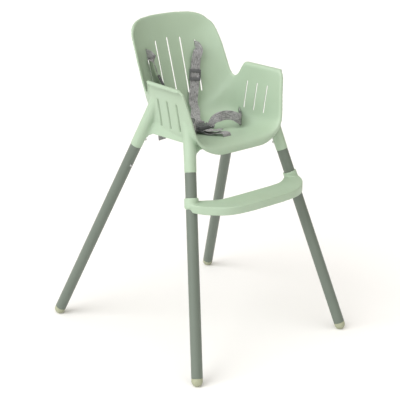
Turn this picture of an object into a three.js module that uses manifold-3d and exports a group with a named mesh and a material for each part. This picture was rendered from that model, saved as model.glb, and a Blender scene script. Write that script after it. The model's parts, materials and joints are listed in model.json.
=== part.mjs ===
// A child's high chair without its tray: a one-piece moulded seat on four splayed tube legs,
// a moulded footrest on the front legs and a five-point harness.
// Millimetres, +Z up, the front faces -Y. The origin is on the floor, midway between the feet.
import * as THREE from "three";
import { mergeVertices } from "three/addons/utils/BufferGeometryUtils.js";
import Module from "manifold-3d";

const wasm = await Module();
wasm.setup();

// ---- driving dimensions -------------------------------------------------------------------

const FIT_GAP = 0.3; // between two pieces that touch
const SIDES = 16; // round parts

// Stance
const FRONT_FOOT_X = 270.8;
const FRONT_FOOT_Y = -307.7;
const REAR_FOOT_X = 290.9;
const REAR_FOOT_Y = 307.8;

// Legs
const LEG_RADIUS = 15.5;
const LEG_WALL = 1.5;
const CAP_COLLAR = 7;
const CAP_PLUG = 22;
const CAP_FLAT = 6; // radius of the flat that meets the floor
const SPIGOT_WALL = 2;
const SPIGOT_IN_SOCKET = 50;
const SPIGOT_IN_LEG = 95;
const SOCKET_WALL = 1.7;
const SOCKET_TAPER = 1.3;
const BUTTON_DROP = 60; // from the top of the leg
const BUTTON_RADIUS = 3.2;
const BUTTON_STANDS = 3;
const BUTTON_SIDES = 12;
const SCREW_RISE = 26; // above the socket's mouth
const SCREW_RADIUS = 2;

// Seat
const SEAT_HEIGHT = 586; // lowest point of the seat's upper surface
const SHELL_WALL = 4;
const RAIL_HALF_WIDTH = 171.5; // inner face of the arm rails
const RAIL_RISE = 165.5; // rail top above the seat
const RAIL_REACH = 17;
const RAIL_ROLL = 9;
const EDGE_REACH = 6;
const EDGE_ROLL = 5.2;
const WING_EDGE_REACH = 9;
const LIP_REACH = 23;
const LIP_ROLL = 14;
const BACK_RISE = 297.5; // top of the back above the seat, before its roll
const FRONT_MOUTH_INSET = 4.8; // socket mouths, from the rail's inner face
const FRONT_MOUTH_Y = -157.1;
const FRONT_MOUTH_DROP = 54; // below the seat
const REAR_MOUTH_INSET = -3.5;
const REAR_MOUTH_Y = 66.8;
const REAR_MOUTH_DROP = 27;
const APRON_WALL = 4;
const APRON_INSET = 6;

// Openings in the seat
const SLOT_WIDTH = 4;
const BACK_SLOT_PITCH = 44;
const BACK_SLOT_FOOT = 81; // above the seat
const BACK_SLOT_RISE = 235;
const WING_SLOT_FOOT = 42;
const WING_SLOT_RISE = 115;
const WING_SLOT_YS = [-97, -56.5, -17];
const STRAP_SLOT_WIDTH = 6;

// Footrest
const REST_HEIGHT = SEAT_HEIGHT - 130.5; // middle of the sleeves
const SLEEVE_LENGTH = 28;
const SLEEVE_WALL = 3.6;
const REST_TOP = REST_HEIGHT + 2.5;
const REST_DEPTH = 23;
const REST_WALL = 4;
const REST_REACH = 106.6; // its front edge, ahead of the sleeves
const REST_LENGTH = 74;

// Harness
const WEB_WIDTH = 27;
const WEB_THICKNESS = 1.6;
const BUCKLE_WIDTH = 40;
const BUCKLE_LENGTH = 36;
const BUCKLE_THICKNESS = 15;
const BUCKLE_WALL = 2.2;
const BUCKLE_Y = -26;
const BUCKLE_BUTTON_RADIUS = 8;

// ---- solids -------------------------------------------------------------------------------

// A closed three.js geometry as a solid that can be joined and cut.
function solid(geometry) {
  const bare = geometry.clone();
  for (const name of Object.keys(bare.attributes)) {
    if (name !== "position") {
      bare.deleteAttribute(name);
    }
  }
  const merged = mergeVertices(bare, 1e-4);
  const vertProperties = new Float32Array(merged.attributes.position.array);
  const triVerts = new Uint32Array(merged.index.array);
  return new wasm.Manifold(new wasm.Mesh({ numProp: 3, vertProperties, triVerts }));
}

function geometryOf(body) {
  const mesh = body.getMesh();
  const geometry = new THREE.BufferGeometry();
  geometry.setAttribute("position", new THREE.BufferAttribute(new Float32Array(mesh.vertProperties), 3));
  geometry.setIndex(Array.from(mesh.triVerts));
  return geometry;
}

// A closed body from points and quads, turned so that its faces point out.
function bodyFrom(points, quads) {
  const index = [];
  for (const [a, b, c, d] of quads) {
    index.push(a, b, c);
    if (d !== undefined) {
      index.push(a, c, d);
    }
  }
  let volume = 0;
  const cross = new THREE.Vector3();
  for (let i = 0; i < index.length; i += 3) {
    cross.crossVectors(points[index[i + 1]], points[index[i + 2]]);
    volume += points[index[i]].dot(cross);
  }
  if (volume < 0) {
    index.reverse();
  }
  const geometry = new THREE.BufferGeometry().setFromPoints(points);
  geometry.setIndex(index);
  return solid(geometry);
}

// Moves a geometry that was made along +Y so that it starts at a point and runs along a direction.
function place(geometry, start, direction, turn = 0) {
  const up = new THREE.Vector3(0, 1, 0);
  const spin = new THREE.Quaternion().setFromAxisAngle(up, turn);
  const aim = new THREE.Quaternion().setFromUnitVectors(up, direction.clone().normalize());
  const matrix = new THREE.Matrix4().compose(start, aim.multiply(spin), new THREE.Vector3(1, 1, 1));
  return geometry.applyMatrix4(matrix);
}

function rod(start, direction, length, radius, endRadius = radius, sides = SIDES) {
  const geometry = new THREE.CylinderGeometry(endRadius, radius, length, sides);
  geometry.translate(0, length / 2, 0);
  return solid(place(geometry, start, direction));
}

function turned(profile, start, direction, sides = SIDES) {
  const geometry = new THREE.LatheGeometry(profile.map(([r, y]) => new THREE.Vector2(r, y)), sides);
  return solid(place(geometry, start, direction));
}

function slab(width, depth, height, x, y, z) {
  return solid(new THREE.BoxGeometry(width, depth, height).translate(x, y, z));
}

// A flat outline given in two axes and pushed along the third.
function pushed(outline, from, to, axes) {
  const shape = new THREE.Shape(outline.map(([a, b]) => new THREE.Vector2(a, b)));
  const depth = to - from;
  const geometry = new THREE.ExtrudeGeometry(shape, { depth, bevelEnabled: false, steps: 1 });
  geometry.translate(0, 0, from);
  const basis = new THREE.Matrix4().makeBasis(...axes);
  geometry.applyMatrix4(basis);
  if (basis.determinant() < 0) {
    const index = Array.from(mergeVertices(geometry).index.array).reverse();
    const flipped = mergeVertices(geometry);
    flipped.setIndex(index);
    return solid(flipped);
  }
  return solid(geometry);
}

const X = new THREE.Vector3(1, 0, 0);
const Y = new THREE.Vector3(0, 1, 0);
const Z = new THREE.Vector3(0, 0, 1);

// An upright slot outline with round ends, from a foot point to a head point.
function slotOutline(foot, head, width) {
  const along = new THREE.Vector2(head[0] - foot[0], head[1] - foot[1]);
  const angle = along.angle();
  const points = [];
  const ends = [[head, -Math.PI / 2], [foot, Math.PI / 2]];
  for (const [[a, b], startAngle] of ends) {
    for (let step = 0; step <= 4; step += 1) {
      const turn = angle + startAngle + (step * Math.PI) / 4;
      points.push([a + (width / 2) * Math.cos(turn), b + (width / 2) * Math.sin(turn)]);
    }
  }
  return points;
}

// ---- legs: axes ---------------------------------------------------------------------------

// The ball of each foot stands a little lower than its radius, so the floor cuts a small flat.
const FOOT_CENTRE = Math.sqrt(LEG_RADIUS ** 2 - CAP_FLAT ** 2);

function legFrame(end, side) {
  const front = end === "front";
  const footX = front ? FRONT_FOOT_X : REAR_FOOT_X;
  const footY = front ? FRONT_FOOT_Y : REAR_FOOT_Y;
  const mouthX = RAIL_HALF_WIDTH - (front ? FRONT_MOUTH_INSET : REAR_MOUTH_INSET);
  const mouthY = front ? FRONT_MOUTH_Y : REAR_MOUTH_Y;
  const mouthZ = SEAT_HEIGHT - (front ? FRONT_MOUTH_DROP : REAR_MOUTH_DROP);
  const foot = new THREE.Vector3(side * footX, footY, FOOT_CENTRE);
  const mouth = new THREE.Vector3(side * mouthX, mouthY, mouthZ);
  const up = mouth.clone().sub(foot);
  const length = up.length();
  up.normalize();
  // The button faces the other leg on its side, square to the tube.
  const facing = new THREE.Vector3(0, front ? 1 : -1, 0);
  facing.addScaledVector(up, -facing.dot(up)).normalize();
  const inward = new THREE.Vector3(-side, 0, 0);
  inward.addScaledVector(up, -inward.dot(up)).normalize();
  const at = (distance) => foot.clone().addScaledVector(up, distance);
  return { end, side, foot, mouth, up, length, facing, inward, at };
}

const LEGS = [];
for (const end of ["front", "rear"]) {
  for (const side of [-1, 1]) {
    LEGS.push(legFrame(end, side));
  }
}
const FRONT_RIGHT = LEGS.find((leg) => leg.end === "front" && leg.side === 1);
const REAR_RIGHT = LEGS.find((leg) => leg.end === "rear" && leg.side === 1);

// ---- seat: one smooth sheet, thickened, with a rolled rim -----------------------------------

// Stations from the front edge (0) to the top of the back (1). Each one is a cross-section that
// starts at the middle line of the seat and ends at the rim on the child's left.
// station: place along the sheet, rim inset from the rail, rim y, rim rise, middle y, middle rise
const STATIONS = [
  [0.0, -0.5, -136, RAIL_RISE - 12.5, -168, 4],
  [0.08, 0, -112, RAIL_RISE - 9, -142, 6.5],
  [0.16, 0.9, -82, RAIL_RISE - 9, -108, 4.5],
  [0.24, 1.7, -52, RAIL_RISE - 9, -72, 1.5],
  [0.32, 2.5, -24, RAIL_RISE - 9, -34, 0],
  [0.4, 4.0, -3, RAIL_RISE - 10.5, 6, 0.5],
  [0.46, 8.5, 13, RAIL_RISE - 24.5, 39, 4],
  [0.52, 14.5, 30, 122, 68, 16],
  [0.58, 18.7, 44, 123.5, 87, 39],
  [0.64, 20.7, 55, 138, 98, 69],
  [0.7, 22.0, 66, 161, 109, 107],
  [0.78, 22.9, 80, 194, 123, 154],
  [0.86, 25.7, 95, 226, 139.5, 207],
  [0.93, 31, 114, 258.5, 154, 256],
  [1.0, 42, 130, 278, 167, BACK_RISE],
];

// A smooth curve through the stations' values in one column.
function along(column, v) {
  let k = 0;
  while (k < STATIONS.length - 2 && STATIONS[k + 1][0] < v) {
    k += 1;
  }
  const at = (i) => STATIONS[Math.min(Math.max(i, 0), STATIONS.length - 1)];
  const [p0, p1, p2, p3] = [at(k - 1), at(k), at(k + 1), at(k + 2)];
  const span = p2[0] - p1[0];
  const t = (v - p1[0]) / span;
  const before = p2[0] - p0[0] || span;
  const after = p3[0] - p1[0] || span;
  const m1 = ((p2[column] - p0[column]) / before) * span;
  const m2 = ((p3[column] - p1[column]) / after) * span;
  const t2 = t * t;
  const t3 = t2 * t;
  const rise = p1[column] * (2 * t3 - 3 * t2 + 1) + p2[column] * (3 * t2 - 2 * t3);
  return rise + m1 * (t3 - 2 * t2 + t) + m2 * (t3 - t2);
}

function smooth(from, to, value) {
  const t = Math.min(Math.max((value - from) / (to - from), 0), 1);
  return t * t * (3 - 2 * t);
}

function mix(a, b, t) {
  return a + (b - a) * t;
}

// One cross-section as shares of its half width and its rise, for w from the middle to the rim.
// The seat is a flat-bottomed bucket with flaring walls; the back is a shallow crown.
function sectionShares(w, v) {
  const turn = (w * Math.PI) / 2;
  const corner = mix(9, 15, smooth(0, 0.2, v)) * (1 - 0.82 * smooth(0.34, 0.56, v));
  const rise = 1 - Math.cos(turn) ** (2 / corner);
  const flare = 0.86 - 0.06 * smooth(0.4, 0.56, v);
  const across = flare * Math.sin(turn) ** 0.5 + (1 - flare) * rise ** 1.6;
  const back = smooth(0.46, 0.8, v);
  const crown = mix(0.35, 0.65, smooth(0.6, 0.85, v));
  const topCrown = mix(crown, 0.85, smooth(0.9, 1, v));
  const liftCrown = mix(crown, 0.15, smooth(0.9, 1, v));
  const backY = topCrown * w ** 2 + (1 - topCrown) * w ** 6;
  const backZ = liftCrown * w ** 2 + (1 - liftCrown) * w ** 6;
  return [mix(across, w, back), mix(rise, backY, back), mix(rise, backZ, back)];
}

const ACROSS = 11; // grid steps from the middle to the rim
const LENGTHWISE = 21; // grid steps from the front edge to the top

// Half a cross-section, in equal steps of length from the middle to the rim.
function halfSection(v) {
  const rim = [RAIL_HALF_WIDTH - along(1, v), along(2, v), SEAT_HEIGHT + along(3, v)];
  const middle = [0, along(4, v), SEAT_HEIGHT + along(5, v)];
  const fine = [];
  for (let i = 0; i <= 240; i += 1) {
    const [across, y, z] = sectionShares(i / 240, v);
    fine.push(new THREE.Vector3(rim[0] * across, mix(middle[1], rim[1], y), mix(middle[2], rim[2], z)));
  }
  const lengths = [0];
  for (let i = 1; i < fine.length; i += 1) {
    lengths.push(lengths[i - 1] + fine[i].distanceTo(fine[i - 1]));
  }
  const total = lengths[lengths.length - 1];
  const points = [];
  let k = 0;
  for (let j = 0; j <= ACROSS; j += 1) {
    const wanted = (total * j) / ACROSS;
    while (k < fine.length - 2 && lengths[k + 1] < wanted) {
      k += 1;
    }
    const t = (wanted - lengths[k]) / (lengths[k + 1] - lengths[k]);
    points.push(fine[k].clone().lerp(fine[k + 1], t));
  }
  return points;
}

const COLUMNS = 2 * ACROSS + 1;
const sheet = [];
for (let i = 0; i <= LENGTHWISE; i += 1) {
  const half = halfSection(i / LENGTHWISE);
  const mirrored = half.slice(1).reverse().map((p) => new THREE.Vector3(-p.x, p.y, p.z));
  sheet.push([...mirrored, ...half]);
}

// Outward normals of the sheet: away from the child.
const sheetNormals = sheet.map((row, i) => row.map((point, j) => {
  const nextRow = sheet[Math.min(i + 1, LENGTHWISE)][j];
  const lastRow = sheet[Math.max(i - 1, 0)][j];
  const nextColumn = row[Math.min(j + 1, COLUMNS - 1)];
  const lastColumn = row[Math.max(j - 1, 0)];
  const lengthwise = nextRow.clone().sub(lastRow);
  const sideways = nextColumn.clone().sub(lastColumn);
  return lengthwise.cross(sideways).normalize();
}));

// The rim as one loop of grid places: along the front edge, up one side, over the top, down the other.
const loop = [];
for (let j = 0; j < COLUMNS - 1; j += 1) {
  loop.push([0, j]);
}
for (let i = 0; i < LENGTHWISE; i += 1) {
  loop.push([i, COLUMNS - 1]);
}
for (let j = COLUMNS - 1; j > 0; j -= 1) {
  loop.push([LENGTHWISE, j]);
}
for (let i = LENGTHWISE; i > 0; i -= 1) {
  loop.push([i, 0]);
}

// How far the rim rolls out at a place on the loop, and how round the roll is.
function rollAt([i, j]) {
  const v = i / LENGTHWISE;
  const onSide = j === 0 || j === COLUMNS - 1;
  if (onSide) {
    const rail = smooth(0, 0.035, v) * (1 - smooth(0.4, 0.49, v));
    const plain = mix(WING_EDGE_REACH, EDGE_REACH, smooth(0, 0.05, v));
    return { rail, reach: mix(plain, RAIL_REACH, rail), radius: mix(EDGE_ROLL, RAIL_ROLL, rail) };
  }
  if (i === 0) {
    const lip = 1 - smooth(0.4, 0.92, Math.abs(sheet[0][j].x) / RAIL_HALF_WIDTH);
    const radius = mix(EDGE_ROLL + 1.5, LIP_ROLL, lip);
    return { rail: 0, reach: mix(WING_EDGE_REACH, LIP_REACH, lip), radius };
  }
  return { rail: 0, reach: EDGE_REACH, radius: EDGE_ROLL };
}

const ROLL_STEPS = 3;
const RAIL_TOP = SEAT_HEIGHT + RAIL_RISE;

// The roll at one place of the loop: points on the inner skin and points on the outer skin.
function rollPoints(place_, k) {
  const [i, j] = place_;
  const start = sheet[i][j];
  const before = loop[(k + loop.length - 1) % loop.length];
  const after = loop[(k + 1) % loop.length];
  const tangent = sheet[after[0]][after[1]].clone().sub(sheet[before[0]][before[1]]).normalize();
  const normal = sheetNormals[i][j].clone();
  const outward = new THREE.Vector3().crossVectors(normal, tangent).normalize();
  const inside = sheet[Math.min(Math.max(i, 1), LENGTHWISE - 1)][Math.min(Math.max(j, 1), COLUMNS - 2)];
  if (outward.dot(start.clone().sub(inside)) < 0) {
    outward.negate();
  }
  const { rail, reach, radius } = rollAt(place_);
  const final = normal.clone();
  final.z *= 1 - rail;
  final.addScaledVector(tangent, -final.dot(tangent)).normalize();
  const angle = outward.angleTo(final);
  const inner = [];
  const outer = [];
  const point = start.clone();
  for (let step = 1; step <= ROLL_STEPS; step += 1) {
    const half = (angle * (step - 0.5)) / ROLL_STEPS;
    const heading = turnTowards(outward, final, half, angle);
    point.addScaledVector(heading, (2 * radius * Math.sin(angle / ROLL_STEPS / 2)));
    const square = turnTowards(outward, final, (angle * step) / ROLL_STEPS + Math.PI / 2, angle);
    inner.push(point.clone());
    outer.push(point.clone().addScaledVector(square, SHELL_WALL));
  }
  const flat = Math.max(reach - radius, 0.5);
  const square = turnTowards(outward, final, angle + Math.PI / 2, angle);
  point.addScaledVector(final, flat);
  inner.push(point.clone());
  outer.push(point.clone().addScaledVector(square, SHELL_WALL));
  const lift = (RAIL_TOP - point.z) * rail;
  for (let step = 0; step < inner.length; step += 1) {
    const share = Math.min((step + 1) / ROLL_STEPS, 1);
    inner[step].z += lift * share;
    outer[step].z += lift * share;
  }
  return { inner, outer };
}

// The direction reached after turning from one direction towards another by an angle.
function turnTowards(from, to, turnAngle, whole) {
  const side = to.clone().addScaledVector(from, -Math.cos(whole)).normalize();
  return from.clone().multiplyScalar(Math.cos(turnAngle)).addScaledVector(side, Math.sin(turnAngle));
}

function shellBody() {
  const points = [];
  const quads = [];
  const add = (p) => points.push(p) - 1;
  const inner = sheet.map((row) => row.map((p) => add(p.clone())));
  const outer = sheet.map((row, i) => row.map((p, j) => (
    add(p.clone().addScaledVector(sheetNormals[i][j], SHELL_WALL))
  )));
  for (let i = 0; i < LENGTHWISE; i += 1) {
    for (let j = 0; j < COLUMNS - 1; j += 1) {
      quads.push([inner[i][j], inner[i][j + 1], inner[i + 1][j + 1], inner[i + 1][j]]);
      quads.push([outer[i][j], outer[i + 1][j], outer[i + 1][j + 1], outer[i][j + 1]]);
    }
  }
  // Each place on the loop gives a strip of points, round the edge from the inner skin to the outer.
  const strips = loop.map((place_, k) => {
    const roll = rollPoints(place_, k);
    const [i, j] = place_;
    return [inner[i][j], ...roll.inner.map(add), ...roll.outer.reverse().map(add), outer[i][j]];
  });
  for (let k = 0; k < strips.length; k += 1) {
    const here = strips[k];
    const next = strips[(k + 1) % strips.length];
    for (let s = 0; s < here.length - 1; s += 1) {
      quads.push([here[s], here[s + 1], next[s + 1], next[s]]);
    }
  }
  return bodyFrom(points, quads);
}

// The child's space, out to the middle of the wall: what is joined from outside is cut by it.
function childSpace() {
  const points = [];
  const quads = [];
  const ids = sheet.map((row, i) => row.map((p, j) => (
    points.push(p.clone().addScaledVector(sheetNormals[i][j], SHELL_WALL / 2)) - 1
  )));
  for (let i = 0; i < LENGTHWISE; i += 1) {
    for (let j = 0; j < COLUMNS - 1; j += 1) {
      quads.push([ids[i][j], ids[i][j + 1], ids[i + 1][j + 1], ids[i + 1][j]]);
    }
  }
  const apex = points.push(new THREE.Vector3(0, -40, SEAT_HEIGHT + 175)) - 1;
  for (let k = 0; k < loop.length; k += 1) {
    const [i, j] = loop[k];
    const [m, n] = loop[(k + 1) % loop.length];
    quads.push([ids[m][n], ids[i][j], apex]);
  }
  return bodyFrom(points, quads);
}

const SPIGOT_RADIUS = LEG_RADIUS - LEG_WALL - FIT_GAP;
const SOCKET_RADIUS = LEG_RADIUS + SOCKET_WALL - 0.8;
const SOCKET_LENGTHS = { front: 134, rear: 158 };

function socket(leg) {
  return rod(leg.mouth, leg.up, SOCKET_LENGTHS[leg.end], SOCKET_RADIUS, SOCKET_RADIUS + SOCKET_TAPER);
}

function socketBore(leg) {
  const start = leg.mouth.clone().addScaledVector(leg.up, -5);
  return rod(start, leg.up, SPIGOT_IN_SOCKET + 5 + FIT_GAP, SPIGOT_RADIUS + FIT_GAP);
}

// The skirt wall on one side, between the two sockets, leaning with the legs.
function sideApron(side) {
  const bottom = SEAT_HEIGHT + 11;
  const shape = new THREE.Shape();
  shape.moveTo(FRONT_MOUTH_Y + 19, bottom);
  shape.lineTo(2, bottom + 1);
  shape.bezierCurveTo(22, bottom + 1, 34, bottom - 8, REAR_MOUTH_Y - 14, bottom - 32);
  shape.lineTo(REAR_MOUTH_Y - 6, bottom - 32);
  shape.lineTo(REAR_MOUTH_Y - 26, SEAT_HEIGHT + 76);
  shape.lineTo(FRONT_MOUTH_Y + 40, SEAT_HEIGHT + 46);
  const options = { depth: APRON_WALL, bevelEnabled: false, curveSegments: 5 };
  const geometry = new THREE.ExtrudeGeometry(shape, options);
  const front = FRONT_RIGHT;
  const rear = REAR_RIGHT;
  const level = SEAT_HEIGHT + 14;
  const pointAt = (leg) => leg.mouth.clone().addScaledVector(leg.up, (level - leg.mouth.z) / leg.up.z);
  const a = pointAt(front);
  const b = pointAt(rear);
  const slope = (b.x - a.x) / (b.y - a.y);
  const lean = (front.up.x / front.up.z + rear.up.x / rear.up.z) / 2;
  const position = geometry.attributes.position;
  for (let i = 0; i < position.count; i += 1) {
    const y = position.getX(i);
    const z = position.getY(i);
    const inset = APRON_INSET + APRON_WALL - position.getZ(i);
    const x = a.x + slope * (y - a.y) + lean * (z - level) - inset;
    position.setXYZ(i, side * x, y, z);
  }
  return turnedOut(geometry);
}

// The skirt wall across the front or the rear, between the two sockets of that end.
function endApron(end) {
  const leg = end === "front" ? FRONT_RIGHT : REAR_RIGHT;
  const bottom = SEAT_HEIGHT - (end === "front" ? 4 : 0);
  const level = (z) => leg.mouth.clone().addScaledVector(leg.up, (z - leg.mouth.z) / leg.up.z);
  const half = level(bottom).x - 4;
  const foot = level(leg.mouth.z + 8).x - 12;
  const top = SEAT_HEIGHT + (end === "front" ? 46 : 56);
  const shape = new THREE.Shape();
  shape.moveTo(-foot, leg.mouth.z + 8);
  shape.quadraticCurveTo(-foot + 14, bottom, -foot + 40, bottom);
  shape.lineTo(foot - 40, bottom);
  shape.quadraticCurveTo(foot - 14, bottom, foot, leg.mouth.z + 8);
  shape.lineTo(half, bottom);
  shape.lineTo(level(top).x, top);
  shape.lineTo(-level(top).x, top);
  shape.lineTo(-half, bottom);
  const options = { depth: APRON_WALL, bevelEnabled: false, curveSegments: 4 };
  const geometry = new THREE.ExtrudeGeometry(shape, options);
  const position = geometry.attributes.position;
  for (let i = 0; i < position.count; i += 1) {
    const z = position.getY(i);
    const y = level(z).y + position.getZ(i) - APRON_WALL / 2;
    position.setXYZ(i, position.getX(i), y, z);
  }
  return turnedOut(geometry);
}

// A bent plate's solid, whichever way its faces came out.
function turnedOut(geometry) {
  const bare = geometry.clone();
  bare.deleteAttribute("normal");
  bare.deleteAttribute("uv");
  const merged = mergeVertices(bare, 1e-4);
  const position = merged.attributes.position;
  const points = [];
  for (let i = 0; i < position.count; i += 1) {
    points.push(new THREE.Vector3().fromBufferAttribute(position, i));
  }
  const index = merged.index.array;
  const triangles = [];
  for (let i = 0; i < index.length; i += 3) {
    triangles.push([index[i], index[i + 1], index[i + 2]]);
  }
  return bodyFrom(points, triangles);
}


// ---- seat: openings -------------------------------------------------------------------------

const FAR = 240;

function backSlots() {
  const cuts = [];
  for (const step of [-2, -1, 0, 1, 2]) {
    const rank = Math.abs(step);
    const headX = step * BACK_SLOT_PITCH;
    const footX = step * (BACK_SLOT_PITCH - 2);
    const head = SEAT_HEIGHT + BACK_SLOT_RISE - 4 * rank ** 2;
    const outline = slotOutline([footX, SEAT_HEIGHT + BACK_SLOT_FOOT], [headX, head], SLOT_WIDTH);
    cuts.push(pushed(outline, 60, FAR, [X, Z, Y]));
  }
  return cuts;
}

function wingSlots() {
  const cuts = [];
  for (const y of WING_SLOT_YS) {
    const foot = [y, SEAT_HEIGHT + WING_SLOT_FOOT];
    const outline = slotOutline(foot, [y, SEAT_HEIGHT + WING_SLOT_RISE], SLOT_WIDTH);
    cuts.push(pushed(outline, 120, FAR, [Y, Z, X]));
    cuts.push(pushed(outline, -FAR, -120, [Y, Z, X]));
  }
  return cuts;
}

// The openings for the harness: one in the floor, and one low in each wall for the waist webbing.
const HIP_X = 106;
const HIP_Y = -48;
const HIP_LEVEL = SEAT_HEIGHT + 23.6;
const HIP_HEADING = [-0.64, -0.77, 0];
const HIP_END = 62; // how far behind its adjuster the waist webbing ends, inside the wall
const CROTCH_Y = -113;

function harnessSlots() {
  const length = WEB_WIDTH + 3;
  const cuts = [slab(length, STRAP_SLOT_WIDTH, 50, 0, CROTCH_Y, SEAT_HEIGHT)];
  for (const side of [-1, 1]) {
    const geometry = new THREE.BoxGeometry(40, STRAP_SLOT_WIDTH, length);
    geometry.translate(HIP_END - 17, 0, 0);
    geometry.rotateZ(Math.atan2(HIP_HEADING[1], HIP_HEADING[0]) + Math.PI);
    geometry.translate(HIP_X, HIP_Y, HIP_LEVEL);
    const cut = solid(geometry);
    cuts.push(side === 1 ? cut : cut.mirror([1, 0, 0]));
  }
  return cuts;
}

function screwAxis(leg) {
  const start = leg.mouth.clone().addScaledVector(leg.up, SCREW_RISE);
  const direction = leg.inward.clone().add(leg.facing).normalize();
  return { start, direction };
}

function seatShell() {
  let outside = socket(LEGS[0]);
  for (const leg of LEGS.slice(1)) {
    outside = outside.add(socket(leg));
  }
  for (const side of [-1, 1]) {
    outside = outside.add(sideApron(side));
  }
  outside = outside.add(endApron("front")).add(endApron("rear")).subtract(childSpace());
  let seat = shellBody().add(outside);
  for (const leg of LEGS) {
    const { start, direction } = screwAxis(leg);
    seat = seat.subtract(socketBore(leg)).subtract(rod(start, direction, 30, SCREW_RADIUS + FIT_GAP));
  }
  for (const cut of [...backSlots(), ...wingSlots(), ...harnessSlots()]) {
    seat = seat.subtract(cut);
  }
  return seat;
}

// ---- legs -----------------------------------------------------------------------------------

function buttonHole(leg) {
  const radius = BUTTON_RADIUS + FIT_GAP;
  return rod(leg.at(leg.length - BUTTON_DROP), leg.facing, 30, radius, radius, BUTTON_SIDES);
}

function legTube(leg) {
  const length = leg.length - CAP_COLLAR - 2 * FIT_GAP;
  const start = leg.at(CAP_COLLAR + FIT_GAP);
  const bore = rod(leg.at(0), leg.up, leg.length + 10, LEG_RADIUS - LEG_WALL);
  return rod(start, leg.up, length, LEG_RADIUS).subtract(bore).subtract(buttonHole(leg));
}

function spigot(leg) {
  const start = leg.at(leg.length - SPIGOT_IN_LEG);
  const length = SPIGOT_IN_LEG + SPIGOT_IN_SOCKET;
  const outer = rod(start, leg.up, length, SPIGOT_RADIUS);
  const boreStart = leg.at(leg.length - SPIGOT_IN_LEG - 5);
  const bore = rod(boreStart, leg.up, length + 10, SPIGOT_RADIUS - SPIGOT_WALL);
  const screw = screwAxis(leg);
  const screwHole = rod(screw.start, screw.direction, 30, SCREW_RADIUS + FIT_GAP);
  return outer.subtract(bore).subtract(buttonHole(leg)).subtract(screwHole);
}

// A domed pin with a flange that keeps it in the spigot.
const FLANGE_RADIUS = 5;
const FLANGE_TOP = Math.sqrt((SPIGOT_RADIUS - SPIGOT_WALL) ** 2 - FLANGE_RADIUS ** 2) - 2 * FIT_GAP;
const FLANGE_BASE = FLANGE_TOP - 1.2;

function legButton(leg) {
  const top = LEG_RADIUS + BUTTON_STANDS;
  const profile = [[0, FLANGE_BASE], [FLANGE_RADIUS, FLANGE_BASE], [FLANGE_RADIUS, FLANGE_TOP]];
  profile.push([BUTTON_RADIUS, FLANGE_TOP], [BUTTON_RADIUS, top - 2]);
  profile.push([BUTTON_RADIUS * 0.8, top - 0.7], [BUTTON_RADIUS * 0.45, top - 0.15], [0, top]);
  return turned(profile, leg.at(leg.length - BUTTON_DROP), leg.facing, BUTTON_SIDES);
}

// A bent leaf: one arm under the button, the other on the far wall of the spigot.
function buttonSpring(leg) {
  const leaf = 0.7;
  const high = FLANGE_BASE - FIT_GAP;
  const low = -Math.sqrt((SPIGOT_RADIUS - SPIGOT_WALL) ** 2 - 9) + 2 * FIT_GAP;
  const tip = 5;
  const bend = -32;
  const outline = [[tip, high], [-tip, high], [bend, -1 + leaf], [bend - 1.2, -2], [bend, -3 - leaf]];
  outline.push([-tip, low], [tip, low], [tip, low + leaf], [-tip, low + leaf], [bend + 2, -2.6]);
  outline.push([bend + 1, -2], [bend + 2, -1.4], [-tip, high - leaf], [tip, high - leaf]);
  const cross = new THREE.Vector3().crossVectors(leg.up, leg.facing);
  const body = pushed(outline, -3, 3, [leg.up, leg.facing, cross]);
  return body.translate(leg.at(leg.length - BUTTON_DROP).toArray());
}

function spigotScrew(leg) {
  const seatAt = SOCKET_RADIUS + SOCKET_TAPER + FIT_GAP;
  const { start, direction } = screwAxis(leg);
  const tip = SPIGOT_RADIUS - SPIGOT_WALL - 1.5;
  const top = seatAt + 2.3;
  const profile = [[0, tip], [SCREW_RADIUS, tip], [SCREW_RADIUS, seatAt]];
  profile.push([4, seatAt], [3.8, seatAt + 1.4], [2.4, top], [0, top]);
  return turned(profile, start, direction, 12);
}

function footCap(leg) {
  const plug = LEG_RADIUS - LEG_WALL - FIT_GAP;
  const profile = [];
  const rings = 6;
  for (let ring = 0; ring <= rings; ring += 1) {
    const turn = (ring * Math.PI) / 2 / rings;
    profile.push([LEG_RADIUS * Math.sin(turn), -LEG_RADIUS * Math.cos(turn)]);
  }
  profile[0][0] = 0;
  profile.push([LEG_RADIUS, CAP_COLLAR], [plug, CAP_COLLAR], [plug, CAP_COLLAR + CAP_PLUG]);
  profile.push([0, CAP_COLLAR + CAP_PLUG]);
  const dome = turned(profile, leg.foot, leg.up);
  return dome.subtract(slab(90, 90, 40, leg.foot.x, leg.foot.y, -20));
}

// ---- footrest -------------------------------------------------------------------------------

// The plan outline of the footrest, drawn in by a margin.
function restOutline(margin) {
  const sleeve = FRONT_RIGHT.at((REST_HEIGHT - FRONT_RIGHT.foot.z) / FRONT_RIGHT.up.z);
  const reach = LEG_RADIUS + FIT_GAP + SLEEVE_WALL - margin;
  const outer = sleeve.x + reach;
  const inner = sleeve.x - 0.5 * reach;
  const front = sleeve.y - REST_REACH + margin;
  const back = sleeve.y - REST_REACH + REST_LENGTH - margin;
  const shape = new THREE.Shape();
  shape.moveTo(0, front);
  shape.bezierCurveTo(70, front, 105, front + 3, 128 - margin / 2, front + 14);
  shape.bezierCurveTo(150 - margin, front + 24, outer - 13, sleeve.y - 50, outer, sleeve.y);
  shape.lineTo(inner, sleeve.y + 0.7 * reach);
  shape.bezierCurveTo(inner - 24, sleeve.y - 4, 128, back + 3, 92, back + 1);
  shape.quadraticCurveTo(50, back, 0, back);
  const right = shape.getPoints(6);
  const left = right.slice(1, -1).reverse().map((p) => new THREE.Vector2(-p.x, p.y));
  return [...right, ...left].map((p) => [p.x, p.y]);
}

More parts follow.
